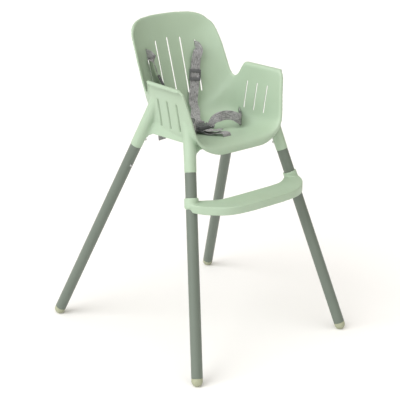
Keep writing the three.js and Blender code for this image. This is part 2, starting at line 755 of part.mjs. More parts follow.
function footrest() {
  const bottom = REST_TOP - REST_DEPTH;
  let body = pushed(restOutline(0), bottom, REST_TOP, [X, Y, Z]);
  body = body.subtract(pushed(restOutline(REST_WALL), bottom - 5, REST_TOP - REST_WALL, [X, Y, Z]));
  for (const leg of LEGS.filter((each) => each.end === "front")) {
    const middle = (REST_HEIGHT - leg.foot.z) / leg.up.z;
    const start = leg.at(middle - SLEEVE_LENGTH / 2);
    body = body.add(rod(start, leg.up, SLEEVE_LENGTH, LEG_RADIUS + FIT_GAP + SLEEVE_WALL, undefined, 24));
  }
  for (const leg of LEGS.filter((each) => each.end === "front")) {
    const middle = (REST_HEIGHT - leg.foot.z) / leg.up.z;
    body = body.subtract(rod(leg.at(middle - 60), leg.up, 120, LEG_RADIUS + FIT_GAP));
  }
  return body;
}

// ---- harness --------------------------------------------------------------------------------

// Flat webbing along a smooth path. Each station is a point and the way the width lies there.
function ribbon(stations, mirror) {
  const flip = (p) => new THREE.Vector3(mirror * p[0], p[1], p[2]);
  const path = stations.map(([point]) => flip(point));
  const widths = stations.map(([, width]) => flip(width).normalize());
  const points = [];
  const quads = [];
  for (let i = 0; i < path.length; i += 1) {
    const next = path[Math.min(i + 1, path.length - 1)];
    const last = path[Math.max(i - 1, 0)];
    const heading = next.clone().sub(last).normalize();
    const width = widths[i].clone().addScaledVector(heading, -widths[i].dot(heading)).normalize();
    const thick = new THREE.Vector3().crossVectors(heading, width);
    for (const [a, b] of [[-1, -1], [1, -1], [1, 1], [-1, 1]]) {
      const corner = path[i].clone().addScaledVector(width, (a * WEB_WIDTH) / 2);
      points.push(corner.addScaledVector(thick, (b * WEB_THICKNESS) / 2));
    }
  }
  for (let i = 0; i < path.length - 1; i += 1) {
    for (let s = 0; s < 4; s += 1) {
      const t = (s + 1) % 4;
      quads.push([4 * i + s, 4 * i + t, 4 * i + 4 + t, 4 * i + 4 + s]);
    }
  }
  const end = 4 * (path.length - 1);
  quads.push([3, 2, 1, 0], [end, end + 1, end + 2, end + 3]);
  return bodyFrom(points, quads);
}

const SLOT_UPRIGHT = [0.03, 0.26, 0.96];
const SHOULDER_X = 2 * BACK_SLOT_PITCH - 0.2; // the shoulder webbing lies in the outermost back slot
const SHOULDER_LEVEL = SEAT_HEIGHT + 204;

// The y of the back's inner skin at a place across and a height.
function backAt(x, z) {
  let low = 0.6;
  let high = 1;
  let y = 0;
  for (let step = 0; step < 24; step += 1) {
    const v = (low + high) / 2;
    const half = halfSection(v);
    const k = Math.max(half.findIndex((p) => p.x > x), 1);
    const t = (x - half[k - 1].x) / (half[k].x - half[k - 1].x);
    const point = half[k - 1].clone().lerp(half[k], t);
    y = point.y;
    if (point.z < z) {
      low = v;
    } else {
      high = v;
    }
  }
  return y;
}

const SHOULDER_Y = backAt(SHOULDER_X, SHOULDER_LEVEL);

// A straight run of webbing that carries an adjuster: its middle, its heading and its width.
// The two shoulder straps hang differently: the one on the child's right is twisted edge-on.
const SHOULDER_RUNS = {
  1: {
    middle: [64, SHOULDER_Y - 26, SEAT_HEIGHT + 127],
    heading: [-14.5, -12, -59],
    width: [0.86, -0.45, -0.15],
  },
  [-1]: {
    middle: [64, SHOULDER_Y - 33.5, SEAT_HEIGHT + 129],
    heading: [-14, -6, -32],
    width: [-0.5, 0.8, 0],
  },
};
const HIP_RUN = { middle: [HIP_X, HIP_Y, HIP_LEVEL], heading: HIP_HEADING, width: [0, 0, 1] };

function runPoint(run, distance) {
  const heading = new THREE.Vector3(...run.heading).normalize();
  return new THREE.Vector3(...run.middle).addScaledVector(heading, distance).toArray();
}

// Webbing turned up round a bar of a tongue: down outside it, under it and up through the slot.
const BAR_TURN = 3.9;

function turnRoundBar(centre, outward, width) {
  const stations = [];
  for (let step = 0; step <= 6; step += 1) {
    const turn = (step * Math.PI) / 6;
    const point = new THREE.Vector3(...centre).addScaledVector(outward, BAR_TURN * Math.cos(turn));
    point.z -= BAR_TURN * Math.sin(turn);
    stations.push([point.toArray(), width]);
  }
  const end = new THREE.Vector3(...centre).addScaledVector(outward, -BAR_TURN);
  stations.push([[end.x, end.y, end.z + 9], width]);
  return stations;
}

const BUCKLE_X = -18;
const BUCKLE_Z = SEAT_HEIGHT + 12;
const TONGUE_PLATE = 3;
const TONGUE_START = BUCKLE_WIDTH / 2 + 1;
const TONGUE_BAR = 4; // width of its bars
const TONGUE_SLOT = 6;
const ARM_START = BUCKLE_LENGTH / 2 + 2;
const HIP_BAR_OUT = TONGUE_START + 2.5 + TONGUE_SLOT + TONGUE_BAR / 2;
const SHOULDER_BAR_BACK = ARM_START + 2.5 + TONGUE_SLOT + TONGUE_BAR / 2;
const SHOULDER_BAR_OUT = TONGUE_START - 2;

// The bars of a tongue in a frame where the wearer's left is +X whichever side it is on.
function bars(side) {
  const x = side * BUCKLE_X;
  return {
    hip: [x + HIP_BAR_OUT, BUCKLE_Y, BUCKLE_Z],
    shoulder: [x + SHOULDER_BAR_OUT, BUCKLE_Y + SHOULDER_BAR_BACK, BUCKLE_Z],
  };
}

function shoulderStrap(side) {
  const across = X.toArray();
  const y = SHOULDER_Y;
  const run = SHOULDER_RUNS[side];
  const bar = bars(side).shoulder;
  const down = [
    [[60, y - 29.5, SHOULDER_LEVEL - 245], across],
    [[63, y - 27.5, SHOULDER_LEVEL - 200], across],
    [[68, y - 19.5, SHOULDER_LEVEL - 145], across],
    [[74, y - 3.5, SHOULDER_LEVEL - 85], across],
    [[SHOULDER_X - 7, y + 15.5, SHOULDER_LEVEL - 38], across],
    [[SHOULDER_X - 3.5, y + 27.5, SHOULDER_LEVEL - 18], [0.8, -0.2, 0.5]],
    [[SHOULDER_X - 1.5, y + 30.5, SHOULDER_LEVEL - 6], [0.35, 0.2, 0.9]],
    [[SHOULDER_X, y + 26.5, SHOULDER_LEVEL - 0.4], SLOT_UPRIGHT],
    [[SHOULDER_X, y + 21.5, SHOULDER_LEVEL], SLOT_UPRIGHT],
    [[SHOULDER_X, y - 9, SHOULDER_LEVEL], SLOT_UPRIGHT],
  ];
  const open = [
    [[SHOULDER_X - 1, y - 14, SHOULDER_LEVEL - 2.5], [0.25, 0.1, 0.95]],
    [[SHOULDER_X - 4.8, y - 17.5, SHOULDER_LEVEL - 12], [0.75, -0.35, 0.6]],
    [[76, y - 19, SHOULDER_LEVEL - 27], [0.9, -0.4, 0.1]],
  ];
  const twisted = [
    [[SHOULDER_X - 1.5, y - 14, SHOULDER_LEVEL - 2.5], [0.1, 0.1, 0.95]],
    [[SHOULDER_X - 3.8, y - 19.5, SHOULDER_LEVEL - 12], [-0.15, 0.5, 0.8]],
    [[80, y - 24.5, SHOULDER_LEVEL - 27], [-0.4, 0.8, 0.25]],
  ];
  const upper = side === 1 ? open : twisted;
  const low = [
    [[47.5, side === 1 ? 86 : 80, SEAT_HEIGHT + 79], side === 1 ? [0.9, -0.4, -0.1] : [0.1, 1, 0]],
    [[40, 79, SEAT_HEIGHT + 54], side === 1 ? [0.95, -0.3, -0.1] : [0.7, 0.7, 0]],
    [[34, 62, SEAT_HEIGHT + 37], across],
    [[mix(34, bar[0], 0.6), 38, SEAT_HEIGHT + 26], across],
    [[bar[0], bar[1] + 14, SEAT_HEIGHT + 23], across],
    [[bar[0], bar[1] + 5.5, SEAT_HEIGHT + 19], across],
  ];
  const straight = [[runPoint(run, -26), run.width], [runPoint(run, 26), run.width]];
  return ribbon([...down, ...upper, ...straight, ...low, ...turnRoundBar(bar, Y, across)], side);
}

function waistStrap(side) {
  const bar = bars(side).hip;
  const upright = Z.toArray();
  const level = HIP_LEVEL;
  const stations = [
    [runPoint(HIP_RUN, -HIP_END), upright],
    [runPoint(HIP_RUN, 25), upright],
    [[84, -71, level + 5], upright],
    [[76, -67, level + 11], upright],
    [[65, -55, level + 16], upright],
    [[mix(54, bar[0] + 30, 0.4), -44, level + 16], upright],
    [[mix(40, bar[0] + 20, 0.6), -38, level + 13], [0.1, 0.4, 0.9]],
    [[bar[0] + 12, BUCKLE_Y - 4, level + 6], [0, 0.9, 0.4]],
    [[bar[0] + 6, BUCKLE_Y, level - 3], Y.toArray()],
  ];
  stations.push(...turnRoundBar(bar, X, Y.toArray()));
  return ribbon(stations, side);
}

const CROTCH_BAR = [BUCKLE_X, BUCKLE_Y - BUCKLE_LENGTH / 2 - 8, BUCKLE_Z - 3.4];

function crotchStrap() {
  const [barX, barY, barZ] = CROTCH_BAR;
  const across = X.toArray();
  const leaning = [1, 0.3, 0];
  const stations = [
    [[0, CROTCH_Y, SEAT_HEIGHT - 18], across],
    [[0, CROTCH_Y, SEAT_HEIGHT + 6], across],
    [[-0.5, CROTCH_Y + 2, SEAT_HEIGHT + 11], across],
    [[-2, CROTCH_Y + 9, SEAT_HEIGHT + 13], leaning],
    [[-8, CROTCH_Y + 24, SEAT_HEIGHT + 11], leaning],
    [[barX + 3, barY - 14, barZ - 4], [1, 0.15, 0]],
    [[barX, barY - 4, barZ - 4.1], across],
    [[barX, barY, barZ - 4.1], across],
    [[barX, barY + 2.9, barZ - 2.9], across],
    [[barX, barY + 4.1, barZ], across],
    [[barX, barY + 2.9, barZ + 2.9], across],
    [[barX, barY, barZ + 4.1], across],
    [[barX + 2, barY - 14, barZ + 4], [1, 0.15, 0]],
    [[barX + 8, barY - 28, barZ + 8], leaning],
    [[barX + 15, barY - 42, barZ + 10], leaning],
  ];
  return ribbon(stations, 1);
}

// Carries a solid made about the origin (width along X, heading along Y) onto a straight run.
function ontoRun(body, run, side, distance = 0) {
  const heading = new THREE.Vector3(...run.heading).normalize();
  const width = new THREE.Vector3(...run.width);
  width.addScaledVector(heading, -width.dot(heading)).normalize();
  const thick = new THREE.Vector3().crossVectors(width, heading);
  const at = new THREE.Vector3(...run.middle).addScaledVector(heading, distance);
  const matrix = new THREE.Matrix4().makeBasis(width, heading, thick).setPosition(at);
  const moved = body.transform(matrix.toArray());
  return side === 1 ? moved : moved.mirror([1, 0, 0]);
}

// Side rails, two bars over the webbing and one under it.
const GLIDE_GAP = 0.6;
const GLIDE_BAR = 2.2;
const GLIDE_LENGTH = 32;

function adjuster(run, side) {
  const half = WEB_WIDTH / 2 + GLIDE_GAP;
  const rail = 1.8;
  const over = WEB_THICKNESS / 2 + GLIDE_GAP;
  const tall = 2 * (over + GLIDE_BAR);
  let body = slab(rail, GLIDE_LENGTH, tall, half + rail / 2, 0, 0);
  body = body.add(slab(rail, GLIDE_LENGTH, tall, -half - rail / 2, 0, 0));
  const span = 2 * half + rail;
  const level = over + GLIDE_BAR / 2;
  const barDepth = 9;
  for (const end of [-1, 1]) {
    const y = (end * (GLIDE_LENGTH - barDepth)) / 2;
    body = body.add(slab(span, barDepth, GLIDE_BAR, 0, y, -level));
  }
  body = body.add(slab(span, barDepth, GLIDE_BAR, 0, 0, level));
  return ontoRun(body, run, side);
}

// A plate that the end of the webbing passes through, behind or under the seat.
function stopPlate() {
  const plate = slab(WEB_WIDTH + 9, 3, 12, 0, 0, 0);
  return plate.subtract(slab(WEB_WIDTH + 1.2, 10, WEB_THICKNESS + 1.2, 0, 0, 0));
}

function shoulderStop(side) {
  const middle = [SHOULDER_X, SHOULDER_Y + 15, SHOULDER_LEVEL];
  const run = { middle, heading: [0, -1, 0], width: SLOT_UPRIGHT };
  return ontoRun(stopPlate(), run, side);
}

function crotchStop() {
  const run = { middle: [0, CROTCH_Y, SEAT_HEIGHT - 10], heading: Z.toArray(), width: X.toArray() };
  return ontoRun(stopPlate(), run, 1);
}

// The tongue in plan: a blade for the buckle, a slot for the waist and an arm behind the buckle
// with a slot for the shoulder.
const BLADE_HALF = 9.5;
const BLADE_END = 11;

function tongue(side) {
  const half = WEB_WIDTH / 2 + 1;
  const out = HIP_BAR_OUT + TONGUE_BAR / 2;
  const near = -half - 3;
  const far = SHOULDER_BAR_BACK + TONGUE_BAR / 2;
  const armIn = SHOULDER_BAR_OUT - half - 3;
  const armOut = SHOULDER_BAR_OUT + half + 3;
  const outline = [[BLADE_END + 2, -BLADE_HALF], [TONGUE_START, -BLADE_HALF], [TONGUE_START, near + 2]];
  outline.push([TONGUE_START + 2, near], [out - 3, near], [out, near + 3], [out, ARM_START - 4]);
  outline.push([armOut, ARM_START], [armOut, far - 3], [armOut - 3, far], [armIn + 3, far]);
  outline.push([armIn, far - 3], [armIn, ARM_START], [TONGUE_START, ARM_START]);
  outline.push([TONGUE_START, BLADE_HALF], [BLADE_END + 2, BLADE_HALF]);
  outline.push([BLADE_END, BLADE_HALF - 2], [BLADE_END, 2 - BLADE_HALF]);
  let body = pushed(outline, -TONGUE_PLATE / 2, TONGUE_PLATE / 2, [X, Y, Z]);
  const hipSlot = HIP_BAR_OUT - (TONGUE_BAR + TONGUE_SLOT) / 2;
  const shoulderSlot = SHOULDER_BAR_BACK - (TONGUE_BAR + TONGUE_SLOT) / 2;
  body = body.subtract(slab(TONGUE_SLOT, 2 * half, 10, hipSlot, 0, 0));
  body = body.subtract(slab(2 * half, TONGUE_SLOT, 10, SHOULDER_BAR_OUT, shoulderSlot, 0));
  body = body.translate([side * BUCKLE_X, BUCKLE_Y, BUCKLE_Z]);
  return side === 1 ? body : body.mirror([1, 0, 0]);
}

const POCKET_RADIUS = 10;
const BUCKLE_FLANGE = BUCKLE_BUTTON_RADIUS + 1.5;

function roundedPlan(width, length, corner) {
  const shape = new THREE.Shape();
  const x = width / 2;
  const y = length / 2;
  shape.moveTo(-x + corner, -y);
  shape.lineTo(x - corner, -y);
  shape.quadraticCurveTo(x, -y, x, -y + corner);
  shape.lineTo(x, y - corner);
  shape.quadraticCurveTo(x, y, x - corner, y);
  shape.lineTo(-x + corner, y);
  shape.quadraticCurveTo(-x, y, -x, y - corner);
  shape.lineTo(-x, -y + corner);
  shape.quadraticCurveTo(-x, -y, -x + corner, -y);
  return shape.getPoints(4).slice(0, -1).map((p) => [p.x, p.y]);
}

function buckleInside() {
  const channel = slab(BUCKLE_WIDTH + 10, 2 * BLADE_HALF + 0.8, TONGUE_PLATE + 0.8, 0, 0, 0);
  const deep = BUCKLE_THICKNESS / 2 - BUCKLE_WALL;
  return channel.add(rod(new THREE.Vector3(0, 0, -deep), Z, 2 * deep, POCKET_RADIUS));
}

function buckleBase() {
  const half = BUCKLE_THICKNESS / 2;
  let body = pushed(roundedPlan(BUCKLE_WIDTH, BUCKLE_LENGTH, 8), -half, -FIT_GAP / 2, [X, Y, Z]);
  const [, barY, barZ] = CROTCH_BAR;
  const y = barY - BUCKLE_Y;
  const z = barZ - BUCKLE_Z;
  const arm = 4;
  const span = WEB_WIDTH + 1.6;
  body = body.add(slab(span + 2 * arm, 4, 4, 0, y, z));
  for (const side of [-1, 1]) {
    body = body.add(slab(arm, 15, 4, (side * (span + arm)) / 2, y + 5.5, z));
  }
  return body.subtract(buckleInside()).translate([BUCKLE_X, BUCKLE_Y, BUCKLE_Z]);
}

function buckleCover() {
  const half = BUCKLE_THICKNESS / 2;
  let body = pushed(roundedPlan(BUCKLE_WIDTH, BUCKLE_LENGTH, 8), FIT_GAP / 2, half - 2, [X, Y, Z]);
  const raised = roundedPlan(BUCKLE_WIDTH - 4, BUCKLE_LENGTH - 4, 6);
  body = body.add(pushed(raised, half - 2.1, half, [X, Y, Z]));
  const hole = rod(new THREE.Vector3(0, 0, 0), Z, 20, BUCKLE_BUTTON_RADIUS + FIT_GAP, undefined, 20);
  return body.subtract(buckleInside()).subtract(hole).translate([BUCKLE_X, BUCKLE_Y, BUCKLE_Z]);
}

const BUTTON_UNDER = 1.8;

function buckleButton() {
  const roof = BUCKLE_THICKNESS / 2 - BUCKLE_WALL - FIT_GAP;
  const top = BUCKLE_THICKNESS / 2 + 1.5;
  const profile = [[0, BUTTON_UNDER], [BUCKLE_FLANGE, BUTTON_UNDER], [BUCKLE_FLANGE, roof]];
  profile.push([BUCKLE_BUTTON_RADIUS, roof], [BUCKLE_BUTTON_RADIUS, top - 1]);
  profile.push([BUCKLE_BUTTON_RADIUS - 1, top], [0, top - 0.6]);
  return turned(profile, new THREE.Vector3(BUCKLE_X, BUCKLE_Y, BUCKLE_Z), Z, 20);
}

function buckleSpring() {
  const wire = 0.45;
  const low = -(BUCKLE_THICKNESS / 2 - BUCKLE_WALL) + wire + FIT_GAP;
  const high = BUTTON_UNDER - wire - FIT_GAP;
  const turns = 2.5;
  class Coil extends THREE.Curve {
    getPoint(t, target = new THREE.Vector3()) {
      const turn = 2 * Math.PI * turns * t;
      return target.set(5 * Math.cos(turn), 5 * Math.sin(turn), mix(low, high, t));
    }
  }
  const ring = new THREE.Shape();
  ring.absarc(0, 0, wire, 0, 2 * Math.PI);
  const options = { steps: 32, curveSegments: 2, bevelEnabled: false, extrudePath: new Coil() };
  const geometry = new THREE.ExtrudeGeometry(ring, options);
  return turnedOut(geometry.translate(BUCKLE_X, BUCKLE_Y, BUCKLE_Z));
}

// ---- assembly -------------------------------------------------------------------------------

const FINISHES = {
  shell: { color: 0xb4cbb4, roughness: 0.5, metalness: 0 },
  tube: { color: 0x93a091, roughness: 0.45, metalness: 0.1 },
  cap: { color: 0xafb69b, roughness: 0.6, metalness: 0 },
  steel: { color: 0xb9bcbd, roughness: 0.3, metalness: 1 },
  webbing: { color: 0x949796, roughness: 0.95, metalness: 0 },
  fitting: { color: 0x5f6264, roughness: 0.45, metalness: 0 },
};
const MATERIALS = {};
for (const [name, values] of Object.entries(FINISHES)) {
  MATERIALS[name] = new THREE.MeshStandardMaterial(values);
  MATERIALS[name].name = name;
}

const chair = new THREE.Group();
chair.name = "high_chair";

function put(name, body, finish) {
  const mesh = new THREE.Mesh(geometryOf(body), MATERIALS[finish]);
  mesh.geometry.computeVertexNormals();
  mesh.name = name;
  chair.add(mesh);
}

put("seat_shell", seatShell(), "shell");
for (const leg of LEGS) {
  const place_ = `${leg.end}_${leg.side === 1 ? "left" : "right"}`;
  put(`leg_${place_}`, legTube(leg), "tube");
  put(`spigot_${place_}`, spigot(leg), "steel");
  put(`leg_button_${place_}`, legButton(leg), "steel");
  put(`button_spring_${place_}`, buttonSpring(leg), "steel");
  put(`spigot_screw_${place_}`, spigotScrew(leg), "steel");
  put(`foot_cap_${place_}`, footCap(leg), "cap");
}
put("footrest", footrest(), "shell");
for (const side of [1, -1]) {
  const hand = side === 1 ? "left" : "right";
  put(`shoulder_strap_${hand}`, shoulderStrap(side), "webbing");
  put(`waist_strap_${hand}`, waistStrap(side), "webbing");
  put(`shoulder_adjuster_${hand}`, adjuster(SHOULDER_RUNS[side], side), "fitting");
  put(`waist_adjuster_${hand}`, adjuster(HIP_RUN, side), "fitting");
  put(`shoulder_stop_${hand}`, shoulderStop(side), "fitting");
  put(`tongue_${hand}`, tongue(side), "fitting");
}
put("crotch_strap", crotchStrap(), "webbing");
put("crotch_stop", crotchStop(), "fitting");
put("buckle_base", buckleBase(), "fitting");
put("buckle_cover", buckleCover(), "fitting");
put("buckle_button", buckleButton(), "fitting");
put("buckle_spring", buckleSpring(), "steel");

export default chair;
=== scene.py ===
# %% [markdown]
# # A child's high chair, piece by piece
#
# This lesson rebuilds a high chair without its tray: a moulded bucket seat on four splayed tube legs,
# a moulded footrest and a five-point webbing harness. The engineering model is loaded first, as a
# fixed frame. It says where every piece is and how it moves. Each later step makes one kind of piece
# again, with the smoothness, the rounded edges and the surface that the real one has.

# %% load the frame
import json
import math

import bmesh
import bpy
import numpy as np
from mathutils import Matrix, Vector


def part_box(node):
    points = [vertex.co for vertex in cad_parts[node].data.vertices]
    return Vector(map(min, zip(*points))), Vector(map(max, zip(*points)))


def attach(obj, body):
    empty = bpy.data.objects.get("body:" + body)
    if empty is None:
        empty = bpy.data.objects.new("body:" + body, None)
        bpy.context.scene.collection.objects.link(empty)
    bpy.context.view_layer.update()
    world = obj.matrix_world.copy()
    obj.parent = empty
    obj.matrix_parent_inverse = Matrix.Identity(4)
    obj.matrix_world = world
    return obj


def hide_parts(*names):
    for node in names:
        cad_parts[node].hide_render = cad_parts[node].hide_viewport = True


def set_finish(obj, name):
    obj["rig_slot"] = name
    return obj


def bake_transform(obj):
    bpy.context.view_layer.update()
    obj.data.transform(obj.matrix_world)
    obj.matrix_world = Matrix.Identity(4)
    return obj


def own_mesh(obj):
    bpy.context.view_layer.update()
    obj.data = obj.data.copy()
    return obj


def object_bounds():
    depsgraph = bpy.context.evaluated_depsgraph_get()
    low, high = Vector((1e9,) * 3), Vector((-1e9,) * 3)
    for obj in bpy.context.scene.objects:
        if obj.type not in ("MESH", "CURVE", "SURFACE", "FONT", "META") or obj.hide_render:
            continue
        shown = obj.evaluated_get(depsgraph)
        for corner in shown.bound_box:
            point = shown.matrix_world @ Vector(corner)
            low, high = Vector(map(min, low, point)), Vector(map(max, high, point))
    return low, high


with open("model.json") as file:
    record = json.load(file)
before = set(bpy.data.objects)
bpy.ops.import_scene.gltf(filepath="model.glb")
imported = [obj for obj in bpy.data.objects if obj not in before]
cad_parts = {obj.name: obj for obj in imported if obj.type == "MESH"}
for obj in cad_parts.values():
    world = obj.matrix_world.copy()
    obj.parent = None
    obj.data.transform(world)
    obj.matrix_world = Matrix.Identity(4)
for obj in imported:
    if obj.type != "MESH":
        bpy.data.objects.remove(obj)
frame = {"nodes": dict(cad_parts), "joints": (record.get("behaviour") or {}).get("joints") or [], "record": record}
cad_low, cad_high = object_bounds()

print("nodes:", len(frame["nodes"]), " height:", round(cad_high.z, 3), "m")

# %% [markdown]
# ## The camera
#
# The camera stands in front of the chair, a little to the child's right, and looks down on it by
# about nineteen degrees. A long lens from over three metres keeps the splayed legs from looking
# stretched. It aims a little below the middle of the chair.

# %% camera
AZIMUTH = math.radians(-40.1156)
ELEVATION = math.radians(19.4314)
DISTANCE = 3.3749
LENS = 106.19

middle = (cad_low + cad_high) / 2
target = middle + Vector((0, 0.0018, -0.0689))
back = Vector((
    math.sin(AZIMUTH) * math.cos(ELEVATION),
    -math.cos(AZIMUTH) * math.cos(ELEVATION),
    math.sin(ELEVATION),
))
camera_data = bpy.data.cameras.new("camera")
camera_data.lens = LENS
camera_data.sensor_width = 36
camera = bpy.data.objects.new("camera", camera_data)
camera.location = target + back * DISTANCE
camera.rotation_euler = back.to_track_quat("Z", "Y").to_euler()
bpy.context.scene.collection.objects.link(camera)
bpy.context.scene.camera = camera
print("camera at", [round(c, 3) for c in camera.location])

# %% [markdown]
# ## Helpers for making pieces
#
# A maker has a few basic operations: fill a mould, turn on a lathe, draw a tube, join, cut and round
# over. These helpers do the same with meshes. Sizes are written in millimetres and multiplied by
# `MM`, because Blender's own unit here is the metre. `smooth` is a step with soft ends, from 0 to 1.

# %% helpers: numbers
MM = 0.001


def vec(*values):
    return Vector(values) * MM


def mix(a, b, t):
    return a + (b - a) * t


def smooth(start, end, value):
    t = min(max((value - start) / (end - start), 0), 1)
    return t * t * (3 - 2 * t)


print("one millimetre is", MM, "units")

# %% [markdown]
# ### Making and joining meshes
#
# A piece starts as a plain list of points and faces. Solids are then joined or cut with a boolean,
# which is how a real mould is milled: a cutter of a known shape takes its own volume away. The
# modifier is applied at once, so that the next cut works on a finished mesh.

# %% helpers: meshes
def make_piece(name, points, faces):
    """A new object from points, in metres, and faces, with all its normals facing out."""
    mesh = bpy.data.meshes.new(name)
    mesh.from_pydata([tuple(p) for p in points], [], faces)
    tidy = bmesh.new()
    tidy.from_mesh(mesh)
    bmesh.ops.recalc_face_normals(tidy, faces=tidy.faces)
    tidy.to_mesh(mesh)
    tidy.free()
    piece = bpy.data.objects.new(name, mesh)
    bpy.context.scene.collection.objects.link(piece)
    return piece


def apply_modifiers(piece):
    """Turns a piece's modifiers into its mesh."""
    depsgraph = bpy.context.evaluated_depsgraph_get()
    shaped = bpy.data.meshes.new_from_object(piece.evaluated_get(depsgraph))
    piece.modifiers.clear()
    piece.data = shaped


def combine(piece, other, operation):
    """Joins another solid to a piece or cuts it away, and removes the other solid."""
    modifier = piece.modifiers.new("combine", "BOOLEAN")
    modifier.solver = "MANIFOLD"
    modifier.operation = operation
    modifier.object = other
    apply_modifiers(piece)
    bpy.data.objects.remove(other)


print("mesh helpers ready")

# %% [markdown]
# ### The last step of every piece
#
# A finished piece gets smooth shading that stops at its real edges. Then it gets the body it moves
# with, if it has one, and the finish it wears; the CAD nodes it stands for are hidden, and it takes
# its place in the list of pieces made. Doing all of them in one helper means that no piece can be left
# behind by a joint.

# %% helpers: settling
def settle(piece, body, slot, *nodes, angle=35):
    """The last step for every piece: its shading, its body, its finish and what it stands for."""
    piece.data.shade_smooth()
    piece.data.set_sharp_from_angle(angle=math.radians(angle))
    if body:
        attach(piece, body)
    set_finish(piece, slot)
    if nodes:
        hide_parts(*nodes)
    made.append(piece.name)


made = []
print("pieces made so far:", len(made))

# %% [markdown]
# ### Round parts
#
# Tubes, caps, screws and buttons are lathe work. A profile of radius and height is turned round an
# axis, which puts the right radius on every edge with very few faces. Where the profile meets the
# axis, the ring of points becomes a single one.

# %% helpers: round parts
def turned(name, profile, start, direction, segments=40):
    """Turns a profile of (radius, height) pairs, in metres, round an axis."""
    aim = Vector((0, 0, 1)).rotation_difference(direction.normalized()).to_matrix()
    points, rings, faces = [], [], []
    for radius, height in profile:
        count = 1 if radius == 0 else segments
        rings.append(range(len(points), len(points) + count))
        for step in range(count):
            turn = 2 * math.pi * step / segments
            spot = Vector((radius * math.cos(turn), radius * math.sin(turn), height))
            points.append(start + aim @ spot)
    for low, high in zip(rings, rings[1:]):
        for step in range(segments):
            after = (step + 1) % segments
            face = [low[step % len(low)], low[after % len(low)]]
            face += [high[after % len(high)], high[step % len(high)]]
            faces.append(list(dict.fromkeys(face)))
    return make_piece(name, points, [face for face in faces if len(face) > 2])


def rod(name, start, direction, length, radius, end_radius=None, segments=40):
    """A plain round bar, straight or tapered, for sleeves and for bores."""
    end_radius = radius if end_radius is None else end_radius
    profile = [(0, 0), (radius, 0), (end_radius, length), (0, length)]
    return turned(name, profile, start, direction, segments)


print("round parts ready")

# %% [markdown]
# ### Flat outlines and curves
#
# Skirts, slots and the footrest's tread are flat outlines with some depth, like parts cut from sheet.
# Their corners are drawn with Bezier curves, because a curve with three or four controls gives an
# even bend without a visible start or end.

# %% helpers: outlines
def block(name, size, matrix):
    """A cutter with square corners, placed by a matrix."""
    x, y, z = (value / 2 for value in size)
    ends = (-1, 1)
    points = [matrix @ Vector((a * x, b * y, c * z)) for a in ends for b in ends for c in ends]
    faces = [(0, 1, 3, 2), (4, 6, 7, 5), (0, 4, 5, 1), (2, 3, 7, 6), (0, 2, 6, 4), (1, 5, 7, 3)]
    return make_piece(name, points, faces)


def prism(name, outline, place):
    """A flat outline pushed between two levels. place(a, b, end) gives the point, end is 0 or 1."""
    count = len(outline)
    points = [place(a, b, end) for end in (0, 1) for a, b in outline]
    faces = [tuple(range(count)), tuple(range(count, 2 * count))]
    faces += [(i, (i + 1) % count, count + (i + 1) % count, count + i) for i in range(count)]
    return make_piece(name, points, faces)


def curve_points(controls, steps):
    """Points of a Bezier curve with three or four controls, without its first point."""
    result = []
    for step in range(1, steps + 1):
        layer = [Vector(c) for c in controls]
        while len(layer) > 1:
            layer = [a.lerp(b, step / steps) for a, b in zip(layer, layer[1:])]
        result.append(tuple(layer[0]))
    return result


print("outline helpers ready")

# %% [markdown]
# ## Where the legs run
#
# The record gives the middle of each foot and of each leg's snap button. The straight line through
# the two is the axis of the leg, and the leg ends a fixed distance above its button, at the mouth of
# the socket that is moulded under the seat.

# %% leg axes
LEG_RADIUS = 15.5 * MM
FOOT_CENTRE = 14.29 * MM
BUTTON_DROP = 60 * MM
LEGS = ["front_left", "front_right", "rear_left", "rear_right"]

mounts = {m["name"]: m for m in frame["record"]["mounts"]}
joints = {j["name"]: j for j in frame["joints"]}


def leg_axis(place):
    """Where a leg stands, which way it rises, and where its button and its mouth are."""
    foot = Vector(mounts[f"foot_{place}"]["pos_m"]) + Vector((0, 0, FOOT_CENTRE))
    joint = joints[f"press_{place}_button"]
    button = Vector(joint["pos_m"])
    up = (button - foot).normalized()
    facing = -Vector(joint["axis"])
    length = (button - foot).length + BUTTON_DROP
    return {"foot": foot, "up": up, "mouth": foot + up * length, "button": button,
            "facing": facing, "length": length}


axes = {place: leg_axis(place) for place in LEGS}


def leg_at_height(axis, z):
    """The point of a leg's axis at a height in metres."""
    return axis["foot"] + axis["up"] * ((z - axis["foot"].z) / axis["up"].z)


for place in LEGS:
    print(place, "mouth at", [round(c, 4) for c in axes[place]["mouth"]])

# %% [markdown]
# ## The seat's sheet
#
# The seat is one injection moulding, four millimetres thick, so it is drawn as one smooth sheet that
# is then given a thickness. Fifteen stations run from the front edge to the top of the back. Each one
# gives the rim and the middle line there, and a cross-section between them: a flat-bottomed bucket
# with flaring walls in the seat, and a shallow crown in the back. A smooth curve runs through the
# stations, so that the surface has no creases except the real ones.

# %% seat: stations
RAIL_ABOVE_SEAT = 165.5
RAIL_HALF_WIDTH = 171.5
WALL = 4
rail_top = Vector(mounts["rail_top_left"]["pos_m"]).z / MM
SEAT = rail_top - RAIL_ABOVE_SEAT
